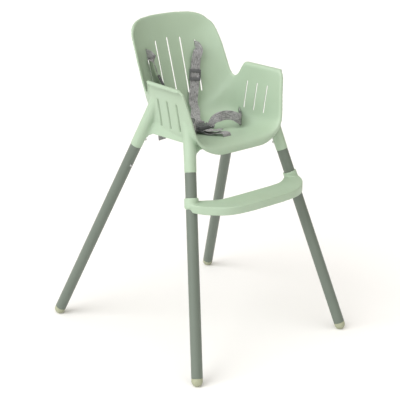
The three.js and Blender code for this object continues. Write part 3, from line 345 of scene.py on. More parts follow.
# station: place along the sheet, rim inset, rim y, rim rise, middle y, middle rise
STATIONS = [
    (0.00, -0.5, -136, 153, -168, 4),
    (0.08, 0, -112, 156.5, -142, 6.5),
    (0.16, 0.9, -82, 156.5, -108, 4.5),
    (0.24, 1.7, -52, 156.5, -72, 1.5),
    (0.32, 2.5, -24, 156.5, -34, 0),
    (0.40, 4.0, -3, 155, 6, 0.5),
    (0.46, 8.5, 13, 141, 39, 4),
    (0.52, 14.5, 30, 122, 68, 16),
    (0.58, 18.7, 44, 123.5, 87, 39),
    (0.64, 20.7, 55, 138, 98, 69),
    (0.70, 22.0, 66, 161, 109, 107),
    (0.78, 22.9, 80, 194, 123, 154),
    (0.86, 25.7, 95, 226, 139.5, 207),
    (0.93, 31, 114, 258.5, 154, 256),
    (1.00, 42, 130, 278, 167, 297.5),
]


def along(column, v):
    """A column of the stations at the share v of the way along the sheet, on a smooth curve."""
    k = 0
    while k < len(STATIONS) - 2 and STATIONS[k + 1][0] < v:
        k += 1
    p0, p1, p2, p3 = (STATIONS[min(max(i, 0), len(STATIONS) - 1)] for i in range(k - 1, k + 3))
    span = p2[0] - p1[0]
    t = (v - p1[0]) / span
    m1 = (p2[column] - p0[column]) / ((p2[0] - p0[0]) or span) * span
    m2 = (p3[column] - p1[column]) / ((p3[0] - p1[0]) or span) * span
    rise = p1[column] * (2 * t**3 - 3 * t**2 + 1) + p2[column] * (3 * t**2 - 2 * t**3)
    return rise + m1 * (t**3 - 2 * t**2 + t) + m2 * (t**3 - t**2)


print("seat floor at", round(SEAT, 1), "mm, rails at", round(rail_top, 1), "mm")

# %% [markdown]
# ### Cross-sections
#
# In the seat, a section has a flat floor, a tight corner and a wall that leans outward a little. In
# the back it is a shallow crown instead. Both are written as shares between the middle line and the
# rim, so the one can turn into the other behind the child's hips without a step. The section is then
# cut into steps of equal length, which keeps the faces of the sheet even.

# %% seat: sections
def section_shares(w, v):
    """How far out, up and back the sheet is at the share w from its middle to its rim."""
    turn = w * math.pi / 2
    corner = mix(9, 15, smooth(0, 0.2, v)) * (1 - 0.82 * smooth(0.34, 0.56, v))
    rise = 1 - max(math.cos(turn), 0) ** (2 / corner)
    flare = 0.86 - 0.06 * smooth(0.4, 0.56, v)
    across = flare * math.sin(turn) ** 0.5 + (1 - flare) * rise**1.6
    back_share = smooth(0.46, 0.8, v)
    crown = mix(0.35, 0.65, smooth(0.6, 0.85, v))
    top = smooth(0.9, 1, v)
    y_crown, z_crown = mix(crown, 0.85, top), mix(crown, 0.15, top)
    back_y = y_crown * w**2 + (1 - y_crown) * w**6
    back_z = z_crown * w**2 + (1 - z_crown) * w**6
    return mix(across, w, back_share), mix(rise, back_y, back_share), mix(rise, back_z, back_share)


def half_section(v, steps):
    """Half a cross-section in millimetres, in equal steps of length from the middle to the rim."""
    rim = (RAIL_HALF_WIDTH - along(1, v), along(2, v), SEAT + along(3, v))
    centre = (0, along(4, v), SEAT + along(5, v))
    fine = []
    for i in range(241):
        across, y, z = section_shares(i / 240, v)
        fine.append((rim[0] * across, mix(centre[1], rim[1], y), mix(centre[2], rim[2], z)))
    fine = np.array(fine)
    lengths = np.concatenate([[0], np.cumsum(np.linalg.norm(np.diff(fine, axis=0), axis=1))])
    wanted = np.linspace(0, lengths[-1], steps + 1)
    return np.stack([np.interp(wanted, lengths, fine[:, axis]) for axis in range(3)], axis=1)


front_section = half_section(0.2, 4)
print("front section:", [[round(float(c)) for c in point] for point in front_section])

# %% [markdown]
# ### The sheet and its thickness
#
# The sections are set side by side in one grid. At each of its points, the two directions of the
# grid give the direction square to the sheet, and the outer skin lies one wall thickness along it.

# %% seat: sheet
ACROSS, LENGTHWISE = 34, 84
rows = []
for i in range(LENGTHWISE + 1):
    half = half_section(i / LENGTHWISE, ACROSS)
    rows.append(np.concatenate([half[:0:-1] * (-1, 1, 1), half]))
sheet = np.array(rows)
COLUMNS = sheet.shape[1]
lengthwise = np.gradient(sheet, axis=0)
sideways = np.gradient(sheet, axis=1)
away = np.cross(lengthwise, sideways)
away /= np.linalg.norm(away, axis=2, keepdims=True)
print("sheet grid:", sheet.shape[:2])

# %% [markdown]
# ## The rolled rim
#
# A moulded shell gets its stiffness from its rim. Here the rim rolls outward all the way round: into
# a broad flat rail along the arms, with its edge turned down, a deep rounded lip across the front of
# the seat, and a narrow roll along the back. At each place on the rim, the roll turns the sheet from
# its own direction to square with itself, on a set radius, and ends in a rounded edge.

# %% seat: rim
last = LENGTHWISE
loop = [(0, j) for j in range(COLUMNS - 1)] + [(i, COLUMNS - 1) for i in range(last)]
loop += [(last, j) for j in range(COLUMNS - 1, 0, -1)] + [(i, 0) for i in range(last, 0, -1)]


def roll_at(i, j):
    """Whether a place on the rim is arm rail, how far its roll reaches, and the roll's radius."""
    v = i / last
    if j in (0, COLUMNS - 1):
        rail = smooth(0, 0.035, v) * (1 - smooth(0.4, 0.49, v))
        plain = mix(9, 6, smooth(0, 0.05, v))
        return rail, mix(plain, 17, rail), mix(5.2, 9, rail)
    if i == 0:
        lip = 1 - smooth(0.4, 0.92, abs(sheet[0][j][0]) / RAIL_HALF_WIDTH)
        return 0, mix(9, 23, lip), mix(6.7, 14, lip)
    return 0, 6, 5.2


print("places round the rim:", len(loop))

# %% [markdown]
# ### Turning the edge over
#
# A sheet-metal worker rolls an edge over a bar. The helper does the same: it starts in the sheet's
# own direction and turns towards the final one by a small angle at a time, so that the roll is a
# true arc. The edge ends in a rounded tip, which on the arm rails is a little bead turned down, as
# tall as the wall and a half. On the rails every point is then lifted to one level.

# %% seat: roll
def unit(v):
    return v / np.linalg.norm(v)


def turn_towards(start, end, angle):
    """A direction turned by an angle from start towards end."""
    whole = math.acos(min(max(float(start @ end), -1), 1))
    side = unit(end - start * math.cos(whole))
    return start * math.cos(angle) + side * math.sin(angle)


def roll_points(k, steps=6):
    """Points round the edge at one place of the loop, from the inner skin to the outer skin."""
    i, j = loop[k]
    before, after = loop[k - 1], loop[(k + 1) % len(loop)]
    tangent = unit(sheet[after] - sheet[before])
    normal = away[i, j]
    outward = unit(np.cross(normal, tangent))
    inside = sheet[min(max(i, 1), last - 1), min(max(j, 1), COLUMNS - 2)]
    if outward @ (sheet[i, j] - inside) < 0:
        outward = -outward
    rail, reach, radius = roll_at(i, j)
    final = normal * (1, 1, 1 - rail)
    final = unit(final - tangent * (final @ tangent))
    angle = math.acos(min(max(float(outward @ final), -1), 1))
    point = sheet[i, j].copy()
    inner, outer = [], []
    for step in range(1, steps + 1):
        heading = turn_towards(outward, final, angle * (step - 0.5) / steps)
        point = point + heading * (2 * radius * math.sin(angle / steps / 2))
        square = turn_towards(outward, final, angle * step / steps + math.pi / 2)
        inner.append(point)
        outer.append(point + square * WALL)
    square = turn_towards(outward, final, angle + math.pi / 2)
    point = point + final * max(reach - radius, 0.5)
    deep = WALL + 5.5 * rail
    edge = [(-1.3, 0), (-0.35, 0.14), (0, 0.5), (-0.35, 0.86), (-1.3, 1)]
    edge += [(mix(-1.4, -3.6, rail), 1), (mix(-1.5, -4.6, rail), mix(1, 0.5, rail))]
    tip = [point + final * pull + square * (deep * share) for pull, share in edge]
    lift = (rail_top - point[2]) * rail
    ease = [step / steps for step in range(1, steps + 1)]
    rise = np.array([0, 0, 1])
    inner = [p + rise * lift * share for p, share in zip(inner, ease)]
    outer = [p + rise * lift * share for p, share in zip(outer, ease)]
    return inner + [p + rise * lift for p in tip] + outer[::-1]


print("points round the edge:", len(roll_points(0)))

# %% [markdown]
# ### Closing the shell
#
# The inner skin, the outer skin and the rolled edge share their points where they meet, so the shell
# comes out as one closed solid. A boolean can only join and cut a solid that is closed.

# %% seat: shell
points, faces = [], []


def add_grid(grid):
    """Adds a grid of points in millimetres and gives their numbers back in the same layout."""
    start = len(points)
    points.extend(grid.reshape(-1, 3) * MM)
    return np.arange(start, len(points)).reshape(grid.shape[:2])


inner_ids = add_grid(sheet)
outer_ids = add_grid(sheet + away * WALL)
for ids in (inner_ids, outer_ids):
    for i in range(last):
        for j in range(COLUMNS - 1):
            faces.append((ids[i, j], ids[i, j + 1], ids[i + 1, j + 1], ids[i + 1, j]))
strips = []
for k, (i, j) in enumerate(loop):
    edge_points = roll_points(k)
    start = len(points)
    points.extend(p * MM for p in edge_points)
    strips.append([inner_ids[i, j], *range(start, len(points)), outer_ids[i, j]])
for here, after in zip(strips, strips[1:] + strips[:1]):
    for s in range(len(here) - 1):
        faces.append((here[s], here[s + 1], after[s + 1], after[s]))
seat = make_piece("moulded_seat", points, [tuple(int(n) for n in face) for face in faces])
print("seat faces:", len(seat.data.polygons))

# %% [markdown]
# ## Sockets and skirt
#
# Under the seat the same moulding carries a socket for each leg, joined by skirt walls. They are made
# as separate solids, cut back to the middle of the seat's wall so that nothing enters the child's
# space, and joined to it. In a real mould the junctions are blended by a ball cutter. The same is
# done here: the whole moulding becomes one even skin of small faces, which is then relaxed near the
# junctions only.

# %% seat: what is under it
SOCKET_RADIUS = 16.4
SOCKET_DRAFT = 1.3
SOCKET_LENGTHS = {"front": 134, "rear": 158}


def socket(place):
    """The slightly flared tube that a leg is pushed into."""
    axis = axes[place]
    start = axis["mouth"] - axis["up"] * 6 * MM
    length = (SOCKET_LENGTHS[place.split("_")[0]] + 6) * MM
    top_radius = (SOCKET_RADIUS + SOCKET_DRAFT) * MM
    return rod("socket", start, axis["up"], length, SOCKET_RADIUS * MM, top_radius, 64)


print("sockets:", SOCKET_LENGTHS)

# %% [markdown]
# ### Skirt walls
#
# Thin walls run from socket to socket: one along each side, one in front and one behind. They follow
# the lean of the legs beside them, and their lower edge is arched, so that the load goes from the
# legs into the bucket without a sharp corner.

# %% seat: skirts
def side_skirt(side):
    """The wall under one side of the bucket, in the plane of its two legs."""
    front, rear = axes["front_left"], axes["rear_left"]
    front_y, rear_y = front["mouth"].y / MM, rear["mouth"].y / MM
    low = SEAT + 11
    outline = [(front_y + 19, low), (2, low + 1)]
    outline += curve_points([(2, low + 1), (22, low + 1), (34, low - 8), (rear_y - 14, low - 32)], 12)
    outline += [(rear_y - 6, low - 32), (rear_y - 26, SEAT + 76), (front_y + 40, SEAT + 46)]
    level = SEAT + 14
    a, b = leg_at_height(front, level * MM) / MM, leg_at_height(rear, level * MM) / MM
    slope = (b.x - a.x) / (b.y - a.y)
    lean = (front["up"].x / front["up"].z + rear["up"].x / rear["up"].z) / 2

    def place(y, z, end):
        x = a.x + slope * (y - a.y) + lean * (z - level) - 6 - WALL * (1 - end)
        return vec(side * x, y, z)

    return prism("skirt", outline, place)


def end_skirt(end):
    """The arched wall between the two front or the two rear sockets."""
    axis = axes[f"{end}_left"]
    low = SEAT - (4 if end == "front" else 0)
    top = SEAT + (46 if end == "front" else 56)
    mouth_z = axis["mouth"].z / MM + 8
    half = leg_at_height(axis, low * MM).x / MM - 4
    foot = leg_at_height(axis, mouth_z * MM).x / MM - 12
    high = leg_at_height(axis, top * MM).x / MM
    arch = [(-foot, mouth_z), (-foot + 14, low), (-foot + 40, low)]
    outline = [arch[0]] + curve_points(arch, 8)
    arch = [(foot - 40, low), (foot - 14, low), (foot, mouth_z)]
    outline += [arch[0]] + curve_points(arch, 8)
    outline += [(half, low), (high, top), (-high, top), (-half, low)]

    def place(x, z, end_share):
        y = leg_at_height(axis, z * MM).y / MM + (end_share - 0.5) * WALL
        return vec(x, y, z)

    return prism("skirt", outline, place)


print("skirt walls are", WALL, "mm thick")

# %% [markdown]
# ### Keeping the child's space clear
#
# The sockets and skirts are drawn too tall on purpose. A solid that fills the bucket, from the middle
# of the wall up to a point above it, cuts off whatever would come through. The join then lies inside
# the wall, where it leaves no mark on either skin.

# %% seat: joining
def child_space():
    """A solid that fills the bucket from the middle of its wall."""
    grid = (sheet + away * WALL / 2)[::2, ::2]
    row_count, columns = grid.shape[:2]
    corners = [tuple(p * MM) for p in grid.reshape(-1, 3)]
    ids = np.arange(row_count * columns).reshape(row_count, columns)
    skin = [
        (ids[i, j], ids[i, j + 1], ids[i + 1, j + 1], ids[i + 1, j])
        for i in range(row_count - 1) for j in range(columns - 1)
    ]
    edge = [*ids[0, :-1], *ids[:-1, -1], *ids[-1, :0:-1], *ids[:0:-1, 0]]
    corners.append(tuple(vec(0, -40, SEAT + 175)))
    apex = len(corners) - 1
    skin += [(edge[k], edge[(k + 1) % len(edge)], apex) for k in range(len(edge))]
    return make_piece("child_space", corners, [tuple(int(n) for n in face) for face in skin])


under = socket(LEGS[0])
for place_name in LEGS[1:]:
    combine(under, socket(place_name), "UNION")
for skirt in (side_skirt(1), side_skirt(-1), end_skirt("front"), end_skirt("rear")):
    combine(under, skirt, "UNION")
combine(under, child_space(), "DIFFERENCE")
combine(seat, under, "UNION")
print("joined:", len(seat.data.polygons), "faces")

# %% [markdown]
# ### Blending the junctions
#
# The remesh gives quads of about two millimetres. A relaxing pass then pulls each point towards its
# neighbours, strongly under the seat where the sockets and skirt meet the bucket, and hardly at all
# elsewhere, so that the rim keeps its shape.

# %% seat: blend
def even_skin(piece, size):
    """Makes a piece again from quads of one size, in millimetres."""
    remesh = piece.modifiers.new("skin", "REMESH")
    remesh.mode = "VOXEL"
    remesh.voxel_size = size * MM
    apply_modifiers(piece)


def relax(piece, weight_of, factor, rounds):
    """Pulls points towards their neighbours, each by the weight that weight_of gives for it."""
    group = piece.vertex_groups.new(name="relax")
    for vertex in piece.data.vertices:
        group.add([vertex.index], weight_of(vertex.co), "REPLACE")
    modifier = piece.modifiers.new("relax", "SMOOTH")
    modifier.factor, modifier.iterations = factor, rounds
    modifier.vertex_group = group.name
    apply_modifiers(piece)
    piece.vertex_groups.clear()


def near_junction(point):
    """1 near the line where a socket or skirt meets the bucket, 0 far from it."""
    nearest = 1.0
    for axis in axes.values():
        offset = point - axis["mouth"]
        height = offset.dot(axis["up"])
        distance = (offset - axis["up"] * height).length
        if -0.01 < height < 0.17:
            nearest = min(nearest, max(distance - 0.018, 0.0))
    low = 1 - smooth(0.09, 0.14, point.z - SEAT * MM)
    return max(0.0, 1 - nearest / 0.02) * low


even_skin(seat, 2.2)
relax(seat, lambda point: 0.5, 0.5, 3)
relax(seat, near_junction, 0.5, 22)
print("blended:", len(seat.data.polygons), "faces")

# %% [markdown]
# ### Slots and bores
#
# The slots are cut after the blending, so that they stay crisp: five long ones in the back, three in
# each wing, a pocket low in each wall for the waist webbing, one in the floor for the crotch webbing,
# and a bore in each socket for the spigot. The mouth of each socket is cut square to its leg.

# %% seat: slot cutters
def slot_outline(foot, head, width):
    """A slot with round ends, from its foot to its head."""
    heading = Vector(head) - Vector(foot)
    angle = math.atan2(heading.y, heading.x)
    outline = []
    for end, start in ((head, -math.pi / 2), (foot, math.pi / 2)):
        for step in range(9):
            turn = angle + start + step * math.pi / 8
            outline.append((end[0] + width / 2 * math.cos(turn), end[1] + width / 2 * math.sin(turn)))
    return outline


def skin_depth(known, spot, wanted, part):
    """How deep the inner skin lies at a spot: the mean of the nearest sheet points."""
    near = np.linalg.norm(part[:, known] - np.array(spot), axis=1)
    order = np.argsort(near)[:4]
    weights = 1 / (near[order] + 0.5)
    return float((part[order, wanted] * weights).sum() / weights.sum())


def flared_slot(foot, head, known, wanted, part, place):
    """A straight slot, opened out towards the outer skin as a mould's draft leaves it."""
    far = 240 if wanted == 0 else 260
    straight = slot_outline(foot, head, 4)
    through = prism("slot", straight, lambda a, b, end: place(a, b, mix(60, far, end)))
    combine(seat, through, "DIFFERENCE")
    wide = slot_outline(foot, head, 12)
    points = []
    for outline, extra in ((straight, 0.9), (wide, 5.6)):
        for (a, b), (c, d) in zip(straight, outline):
            points.append(place(c, d, skin_depth(known, (a, b), wanted, part) + extra))
    count = len(straight)
    faces = [tuple(range(count)), tuple(range(count, 2 * count))]
    faces += [(i, (i + 1) % count, count + (i + 1) % count, count + i) for i in range(count)]
    combine(seat, make_piece("flare", points, faces), "DIFFERENCE")


print("slot outline points:", len(slot_outline((0, 0), (0, 1), 4)))

# %% [markdown]
# ### Cutting the slots
#
# The back's slots fan out a little towards the top and get shorter away from the middle. The wings'
# slots stand upright. Each cutter opens out towards the outer skin, so that light comes through the
# slots even when they are seen at an angle.

# %% seat: slots
BACK_SLOT_PITCH = 44
flat_sheet = sheet.reshape(-1, 3)
back_part = flat_sheet[(flat_sheet[:, 2] > SEAT + 60) & (abs(flat_sheet[:, 0]) < 110)]
for step in (-2, -1, 0, 1, 2):
    foot = (step * (BACK_SLOT_PITCH - 2), SEAT + 81)
    head = (step * BACK_SLOT_PITCH, SEAT + 235 - 4 * step**2)
    flared_slot(foot, head, [0, 2], 1, back_part, lambda x, z, y: vec(x, y, z))
wing_part = flat_sheet[(flat_sheet[:, 0] > 120) & (flat_sheet[:, 1] < 20)]
for y in (-97, -56.5, -17):
    for side in (-1, 1):
        flared_slot((y, SEAT + 42), (y, SEAT + 115), [1, 2], 0, wing_part,
                    lambda a, z, x, side=side: vec(side * x, a, z))

print("after the slots:", len(seat.data.polygons), "faces")

# %% [markdown]
# ### Pockets and bores
#
# The webbing passes through pockets three millimetres wider than itself. The bores in the sockets
# take the spigots. Their directions come from the joints and from the axes of the legs.

# %% seat: pockets and bores
WEB_WIDTH = 27
POCKET_WIDTH = WEB_WIDTH + 3
crotch = (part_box("crotch_stop")[0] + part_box("crotch_stop")[1]) / 2
cut = block("pocket", vec(POCKET_WIDTH, 6, 50), Matrix.Translation(vec(0, crotch.y / MM, SEAT)))
combine(seat, cut, "DIFFERENCE")
for side, hand in ((1, "left"), (-1, "right")):
    joint = joints[f"slide_{hand}_waist_adjuster"]
    heading = Vector(joint["axis"])
    turn = math.atan2(heading.y, heading.x)
    centre = Vector(joint["pos_m"]) - heading * 45 * MM
    matrix = Matrix.Translation(centre) @ Matrix.Rotation(turn, 4, "Z")
    combine(seat, block("pocket", vec(40, 6, POCKET_WIDTH), matrix), "DIFFERENCE")
for axis in axes.values():
    bore = rod("bore", axis["mouth"] - axis["up"] * 5 * MM, axis["up"], 55.3 * MM, 14 * MM)
    combine(seat, bore, "DIFFERENCE")
    trim = rod("trim", axis["mouth"] - axis["up"] * 16 * MM, axis["up"], 16 * MM, 21 * MM)
    combine(seat, trim, "DIFFERENCE")
settle(seat, "chair", "shell", "seat_shell", angle=50)
print("seat:", len(seat.data.polygons), "faces")

# %% [markdown]
# ## Legs, feet and their fixings
#
# Each leg is a straight painted tube. A domed cap is pushed into its foot, and a spring button near
# its top snaps through the tube into the spigot inside, so that the legs come off for packing. All
# of them are round parts, so they are turned from profiles, with a small radius at each edge that a
# hand would touch. The floor takes a small flat off the ball of each cap.

# %% legs: tube
CAP_COLLAR = 7 * MM
GAP = 0.3 * MM
TUBE_WALL = 1.5 * MM
BUTTON_HOLE_RADIUS = 3.5 * MM


def leg_tube(place):
    """A hollow tube with broken edges, from its cap to its socket, and the hole for its button."""
    axis = axes[place]
    low, high = CAP_COLLAR + GAP, axis["length"] - GAP
    r, inner = LEG_RADIUS, LEG_RADIUS - TUBE_WALL
    edge = 0.5 * MM
    profile = [(inner, low), (r - edge, low), (r, low + edge)]
    profile += [(r, high - edge), (r - edge, high), (inner, high)]
    tube = turned(f"leg_tube_{place}", profile + profile[:1], axis["foot"], axis["up"], 56)
    joined = bmesh.new()
    joined.from_mesh(tube.data)
    bmesh.ops.remove_doubles(joined, verts=joined.verts, dist=1e-6)
    bmesh.ops.recalc_face_normals(joined, faces=joined.faces)
    joined.to_mesh(tube.data)
    joined.free()
    hole = rod("hole", axis["button"], axis["facing"], 30 * MM, BUTTON_HOLE_RADIUS, segments=32)
    combine(tube, hole, "DIFFERENCE")
    settle(tube, "chair", "tube", f"leg_{place}")


print("tube:", LEG_RADIUS / MM * 2, "mm across, wall", TUBE_WALL / MM, "mm")

# %% [markdown]
# ### The foot caps
#
# A cap is a half ball with a short collar and a plug that goes up into the tube. The ball touches
# the floor at the lean of its leg, whatever that is, and the floor takes a small flat off it.

# %% legs: foot cap
PLUG_RADIUS = 13.7 * MM
PLUG_LENGTH = 22 * MM


def foot_cap(place):
    """The domed cap at the foot of a leg, cut flat where it stands on the floor."""
    axis = axes[place]
    r = LEG_RADIUS - 0.25 * MM
    steps = 16
    profile = [(0, -r)]
    profile += [(r * math.sin(s * math.pi / 2 / steps), -r * math.cos(s * math.pi / 2 / steps))
                for s in range(1, steps + 1)]
    profile += [(r, CAP_COLLAR - 0.5 * MM), (r - 0.5 * MM, CAP_COLLAR), (PLUG_RADIUS, CAP_COLLAR)]
    profile += [(PLUG_RADIUS, CAP_COLLAR + PLUG_LENGTH), (0, CAP_COLLAR + PLUG_LENGTH)]
    cap = turned(f"foot_{place}", profile, axis["foot"], axis["up"], 56)
    floor_cut = block("floor_cut", (0.09, 0.09, 0.04), Matrix.Translation(
        (axis["foot"].x, axis["foot"].y, -0.02)))
    combine(cap, floor_cut, "DIFFERENCE")
    settle(cap, "chair", "cap", f"foot_cap_{place}", angle=60)


print("cap plug:", round(PLUG_RADIUS / MM * 2, 1), "mm across")

# %% [markdown]
# ### Buttons and screws
#
# The snap button is a pin with a flange that stops it inside the tube, and a domed head that a
# fingertip can press. The screw fixes the spigot in its socket. It has a flat pan head with a small
# recess and sits out of sight on the inner side of the leg.

# %% legs: button and screw
BUTTON_TOP, BUTTON_DOME, BUTTON_RADIUS = 18.5, 1.8, 3.2
FLANGE_LOW, FLANGE_HIGH, FLANGE_RADIUS = 8.78, 9.98, 5
SCREW_UNDER_HEAD = 18.0


def snap_button(place):
    """The button that holds a leg, on its own body, because it can be pressed."""
    axis = axes[place]
    domed = BUTTON_TOP - BUTTON_DOME
    profile = [(0, FLANGE_LOW), (FLANGE_RADIUS, FLANGE_LOW), (FLANGE_RADIUS, FLANGE_HIGH)]
    profile += [(BUTTON_RADIUS, FLANGE_HIGH), (BUTTON_RADIUS, domed)]
    profile += [(BUTTON_RADIUS * math.cos(a), domed + BUTTON_DOME * math.sin(a))
                for a in (0.35, 0.7, 1.05, 1.3)]
    profile += [(0, BUTTON_TOP)]
    profile = [(r * MM, h * MM) for r, h in profile]
    button = turned(f"snap_button_{place}", profile, axis["button"], axis["facing"], 28)
    settle(button, f"button_{place}", "zinc", f"leg_button_{place}")


def screw(place):
    """The pan-head screw through the back of a socket."""
    axis = axes[place]
    inward = Vector((-math.copysign(1, axis["foot"].x), 0, 0))
    inward = (inward - axis["up"] * inward.dot(axis["up"])).normalized()
    direction = (inward + axis["facing"]).normalized()
    start = axis["mouth"] + axis["up"] * 26 * MM
    under = SCREW_UNDER_HEAD
    profile = [(0, 10.2), (2, 10.2), (2, under), (4, under), (4, under + 0.6), (3.5, under + 1.5),
               (2.4, under + 2.1), (1.2, under + 2.3), (1.2, under + 1.3), (0, under + 1.3)]
    profile = [(r * MM, h * MM) for r, h in profile]
    piece = turned(f"screw_{place}", profile, start, direction, 24)
    settle(piece, "chair", "zinc", f"spigot_screw_{place}")


print("button stands", round(BUTTON_TOP - LEG_RADIUS / MM, 1), "mm proud of its leg")

# %% [markdown]
# ### Springs
#
# A spring is the one hard part that changes its shape. Its engineering shape is right at rest, so it
# is copied as it is and rides on the chair; it is not flattened here. The button's leaf spring keeps
# about three quarters of its height when the button is pressed.

# %% legs: leaf spring
def copy_of(node, name):
    """A new piece with the shape of a CAD node, to be kept as it is or given round edges."""
    piece = bpy.data.objects.new(name, frame["nodes"][node].data.copy())
    piece.data.materials.clear()
    bpy.context.scene.collection.objects.link(piece)
    return piece


def leaf_spring(place):
    """The spring under a snap button, at rest; in use it flattens against the far side of the spigot."""
    axis = axes[place]
    spring = copy_of(f"button_spring_{place}", f"leaf_{place}")
    settle(spring, "chair", "zinc", f"button_spring_{place}")
    tuple(axis["facing"])
    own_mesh(spring)


for place in LEGS:
    for make in (leg_tube, foot_cap, snap_button, screw, leaf_spring):
        make(place)
print("leg pieces:", len(made) - 1)

# %% [markdown]
# ## The footrest
#
# The footrest is a hollow moulding with a dished top that flows into a sleeve round each front leg.
# Its plan is drawn with curves, pushed to its depth and hollowed from below. The top is dished, the
# whole is blended in the same way as the seat, and the bores for the legs are cut last.

# %% footrest: plan
FRONT_LEGS = ["front_left", "front_right"]
REST_TOP = SEAT - 128
REST_HEIGHT = SEAT - 130.5
REST_LENGTH = 74
SLEEVE_WALL = 3.6
sleeve = leg_at_height(axes["front_left"], REST_HEIGHT * MM) / MM
FRONT = sleeve.y - 106.6


def rest_outline(margin):
    """The tread and its arms seen from above, drawn in by a margin."""
    reach = (LEG_RADIUS + GAP) / MM + SLEEVE_WALL - margin
    outer, inner = sleeve.x + reach, sleeve.x - 0.5 * reach
    front, rear = FRONT + margin, FRONT + REST_LENGTH - margin
    shoulder = (128 - margin / 2, front + 14)
    neck = (inner, sleeve.y + 0.7 * reach)
    right = [(0, front)]
    right += curve_points([(0, front), (70, front), (105, front + 3), shoulder], 14)
    arm = [shoulder, (150 - margin, front + 24), (outer - 13, sleeve.y - 50), (outer, sleeve.y)]
    right += curve_points(arm, 18)
    right += [neck]
    right += curve_points([neck, (inner - 24, sleeve.y - 4), (128, rear + 3), (92, rear + 1)], 12)
    right += curve_points([(92, rear + 1), (50, rear), (0, rear)], 8)
    return right + [(-x, y) for x, y in right[-2:0:-1]]


print("footrest from y", round(FRONT), "to", round(FRONT + REST_LENGTH), "mm")

# %% [markdown]
# ### The moulding and its sleeves
#
# The outline is pushed down to the footrest's depth, and a smaller outline hollows it from below.
# A sleeve goes round each leg. The voxel remesh then turns all of it into one even skin.

# %% footrest: moulding
def pushed_outline(name, margin, low, high):
    """The plan with a depth, between two levels in millimetres."""
    return prism(name, rest_outline(margin), lambda x, y, end: vec(x, y, mix(low, high, end)))


rest = pushed_outline("footrest_moulding", 0, REST_TOP - 23, REST_TOP)
combine(rest, pushed_outline("hollow", 4, REST_TOP - 30, REST_TOP - 4), "DIFFERENCE")
for place in FRONT_LEGS:
    axis = axes[place]
    start = leg_at_height(axis, REST_HEIGHT * MM) - axis["up"] * 14 * MM
    combine(rest, rod("sleeve", start, axis["up"], 28 * MM, 19.3 * MM, segments=56), "UNION")
even_skin(rest, 1.6)
relax(rest, lambda point: 0.6, 0.5, 4)
print("footrest moulding:", len(rest.data.polygons), "faces")

# %% [markdown]
# ### Soft edges and the dished tread
#
# Two passes of relaxing give the junctions with the sleeves a blend and the front edge a soft roll.
# The tread is then pushed down by a few millimetres along its middle, so that small heels stay on
# it. The bores for the legs are cut last and keep their crisp edges.

# %% footrest: blend and dish
def beside_sleeve(point):
    """1 where the arms run into the sleeves, 0 far from them."""
    nearest = min((point - leg_at_height(axes[p], point.z)).length for p in FRONT_LEGS)
    return 1 - smooth(0.026, 0.045, nearest)



def on_front_roll(point):
    """1 along the front edge of the tread, which rolls over softly, 0 on its middle and below."""
    x, y, z = point / MM
    front_line = FRONT + 24 * smooth(105, 150, abs(x))
    return smooth(REST_TOP - 17, REST_TOP - 8, z) * (1 - smooth(front_line + 10, front_line + 22, y))


relax(rest, beside_sleeve, 0.5, 16)
relax(rest, on_front_roll, 0.5, 30)
TREAD_DISH = 3.2
half_tread = REST_LENGTH / 2
for vertex in rest.data.vertices:
    x, y, z = vertex.co / MM
    across = 1 - smooth(60, 165, abs(x))
    along_y = max(0, 1 - ((y - FRONT - half_tread) / half_tread) ** 2)
    top_share = smooth(REST_TOP - 12, REST_TOP - 2, z)
    vertex.co.z -= (TREAD_DISH * across * along_y * top_share) * MM
for place in FRONT_LEGS:
    axis = axes[place]
    start = leg_at_height(axis, REST_HEIGHT * MM) - axis["up"] * 60 * MM
    combine(rest, rod("bore", start, axis["up"], 120 * MM, 15.8 * MM, segments=56), "DIFFERENCE")
settle(rest, "chair", "shell", "footrest", angle=50)
print("footrest:", len(rest.data.polygons), "faces")

# %% [markdown]
# ## Webbing
#
# Webbing is a flat woven band. It keeps its width and hardly stretches, so each strap is one smooth
# path with a width direction at each point: through its slot, twisting as it falls, straight where an
# adjuster grips it, and round a bar. A smooth curve runs through the stations, and the band has a
# rounded edge. Every face also gets a place across and along the band, which the weave uses.

# %% webbing: path
WEB_THICKNESS = 1.6
tongue_places = [Vector(joints[f"pull_{hand}_tongue"]["pos_m"]) for hand in ("left", "right")]
BUCKLE = (tongue_places[0] + tongue_places[1]) / 2 / MM


def smooth_path(stations, spacing=2.2):
    """Points and widths at close steps on a smooth curve through the stations."""
    data = np.array([[*point, *Vector(width).normalized()] for point, width in stations], float)
    lengths = np.linalg.norm(np.diff(data[:, :3], axis=0), axis=1)
    places = np.concatenate([[0], np.cumsum(lengths)])
    slopes = np.diff(data, axis=0) / lengths[:, None]
    weight = lengths[1:] / (lengths[1:] + lengths[:-1])
    inner = slopes[:-1] * weight[:, None] + slopes[1:] * (1 - weight[:, None])
    tangents = np.concatenate([slopes[:1], inner, slopes[-1:]])
    steps = int(places[-1] / spacing)
    result = []
    for wanted in np.linspace(0, places[-1], steps + 1):
        k = min(int(np.searchsorted(places, wanted, side="right")) - 1, len(lengths) - 1)
        span = lengths[k]
        t = (wanted - places[k]) / span
        value = data[k] * (2 * t**3 - 3 * t**2 + 1) + data[k + 1] * (3 * t**2 - 2 * t**3)
        bend = tangents[k] * (t**3 - 2 * t**2 + t) + tangents[k + 1] * (t**3 - t**2)
        value = value + bend * span
        result.append((value[:3], value[3:]))
    return result


print("buckle at", [round(c, 1) for c in BUCKLE])

# %% [markdown]
# ### The band
#
# The band's section has rounded edges, because a selvedge is never sharp. It is carried along the
# path and turned by the width direction of each station. A strap on the right is drawn as if it were
# on the left, and then mirrored.

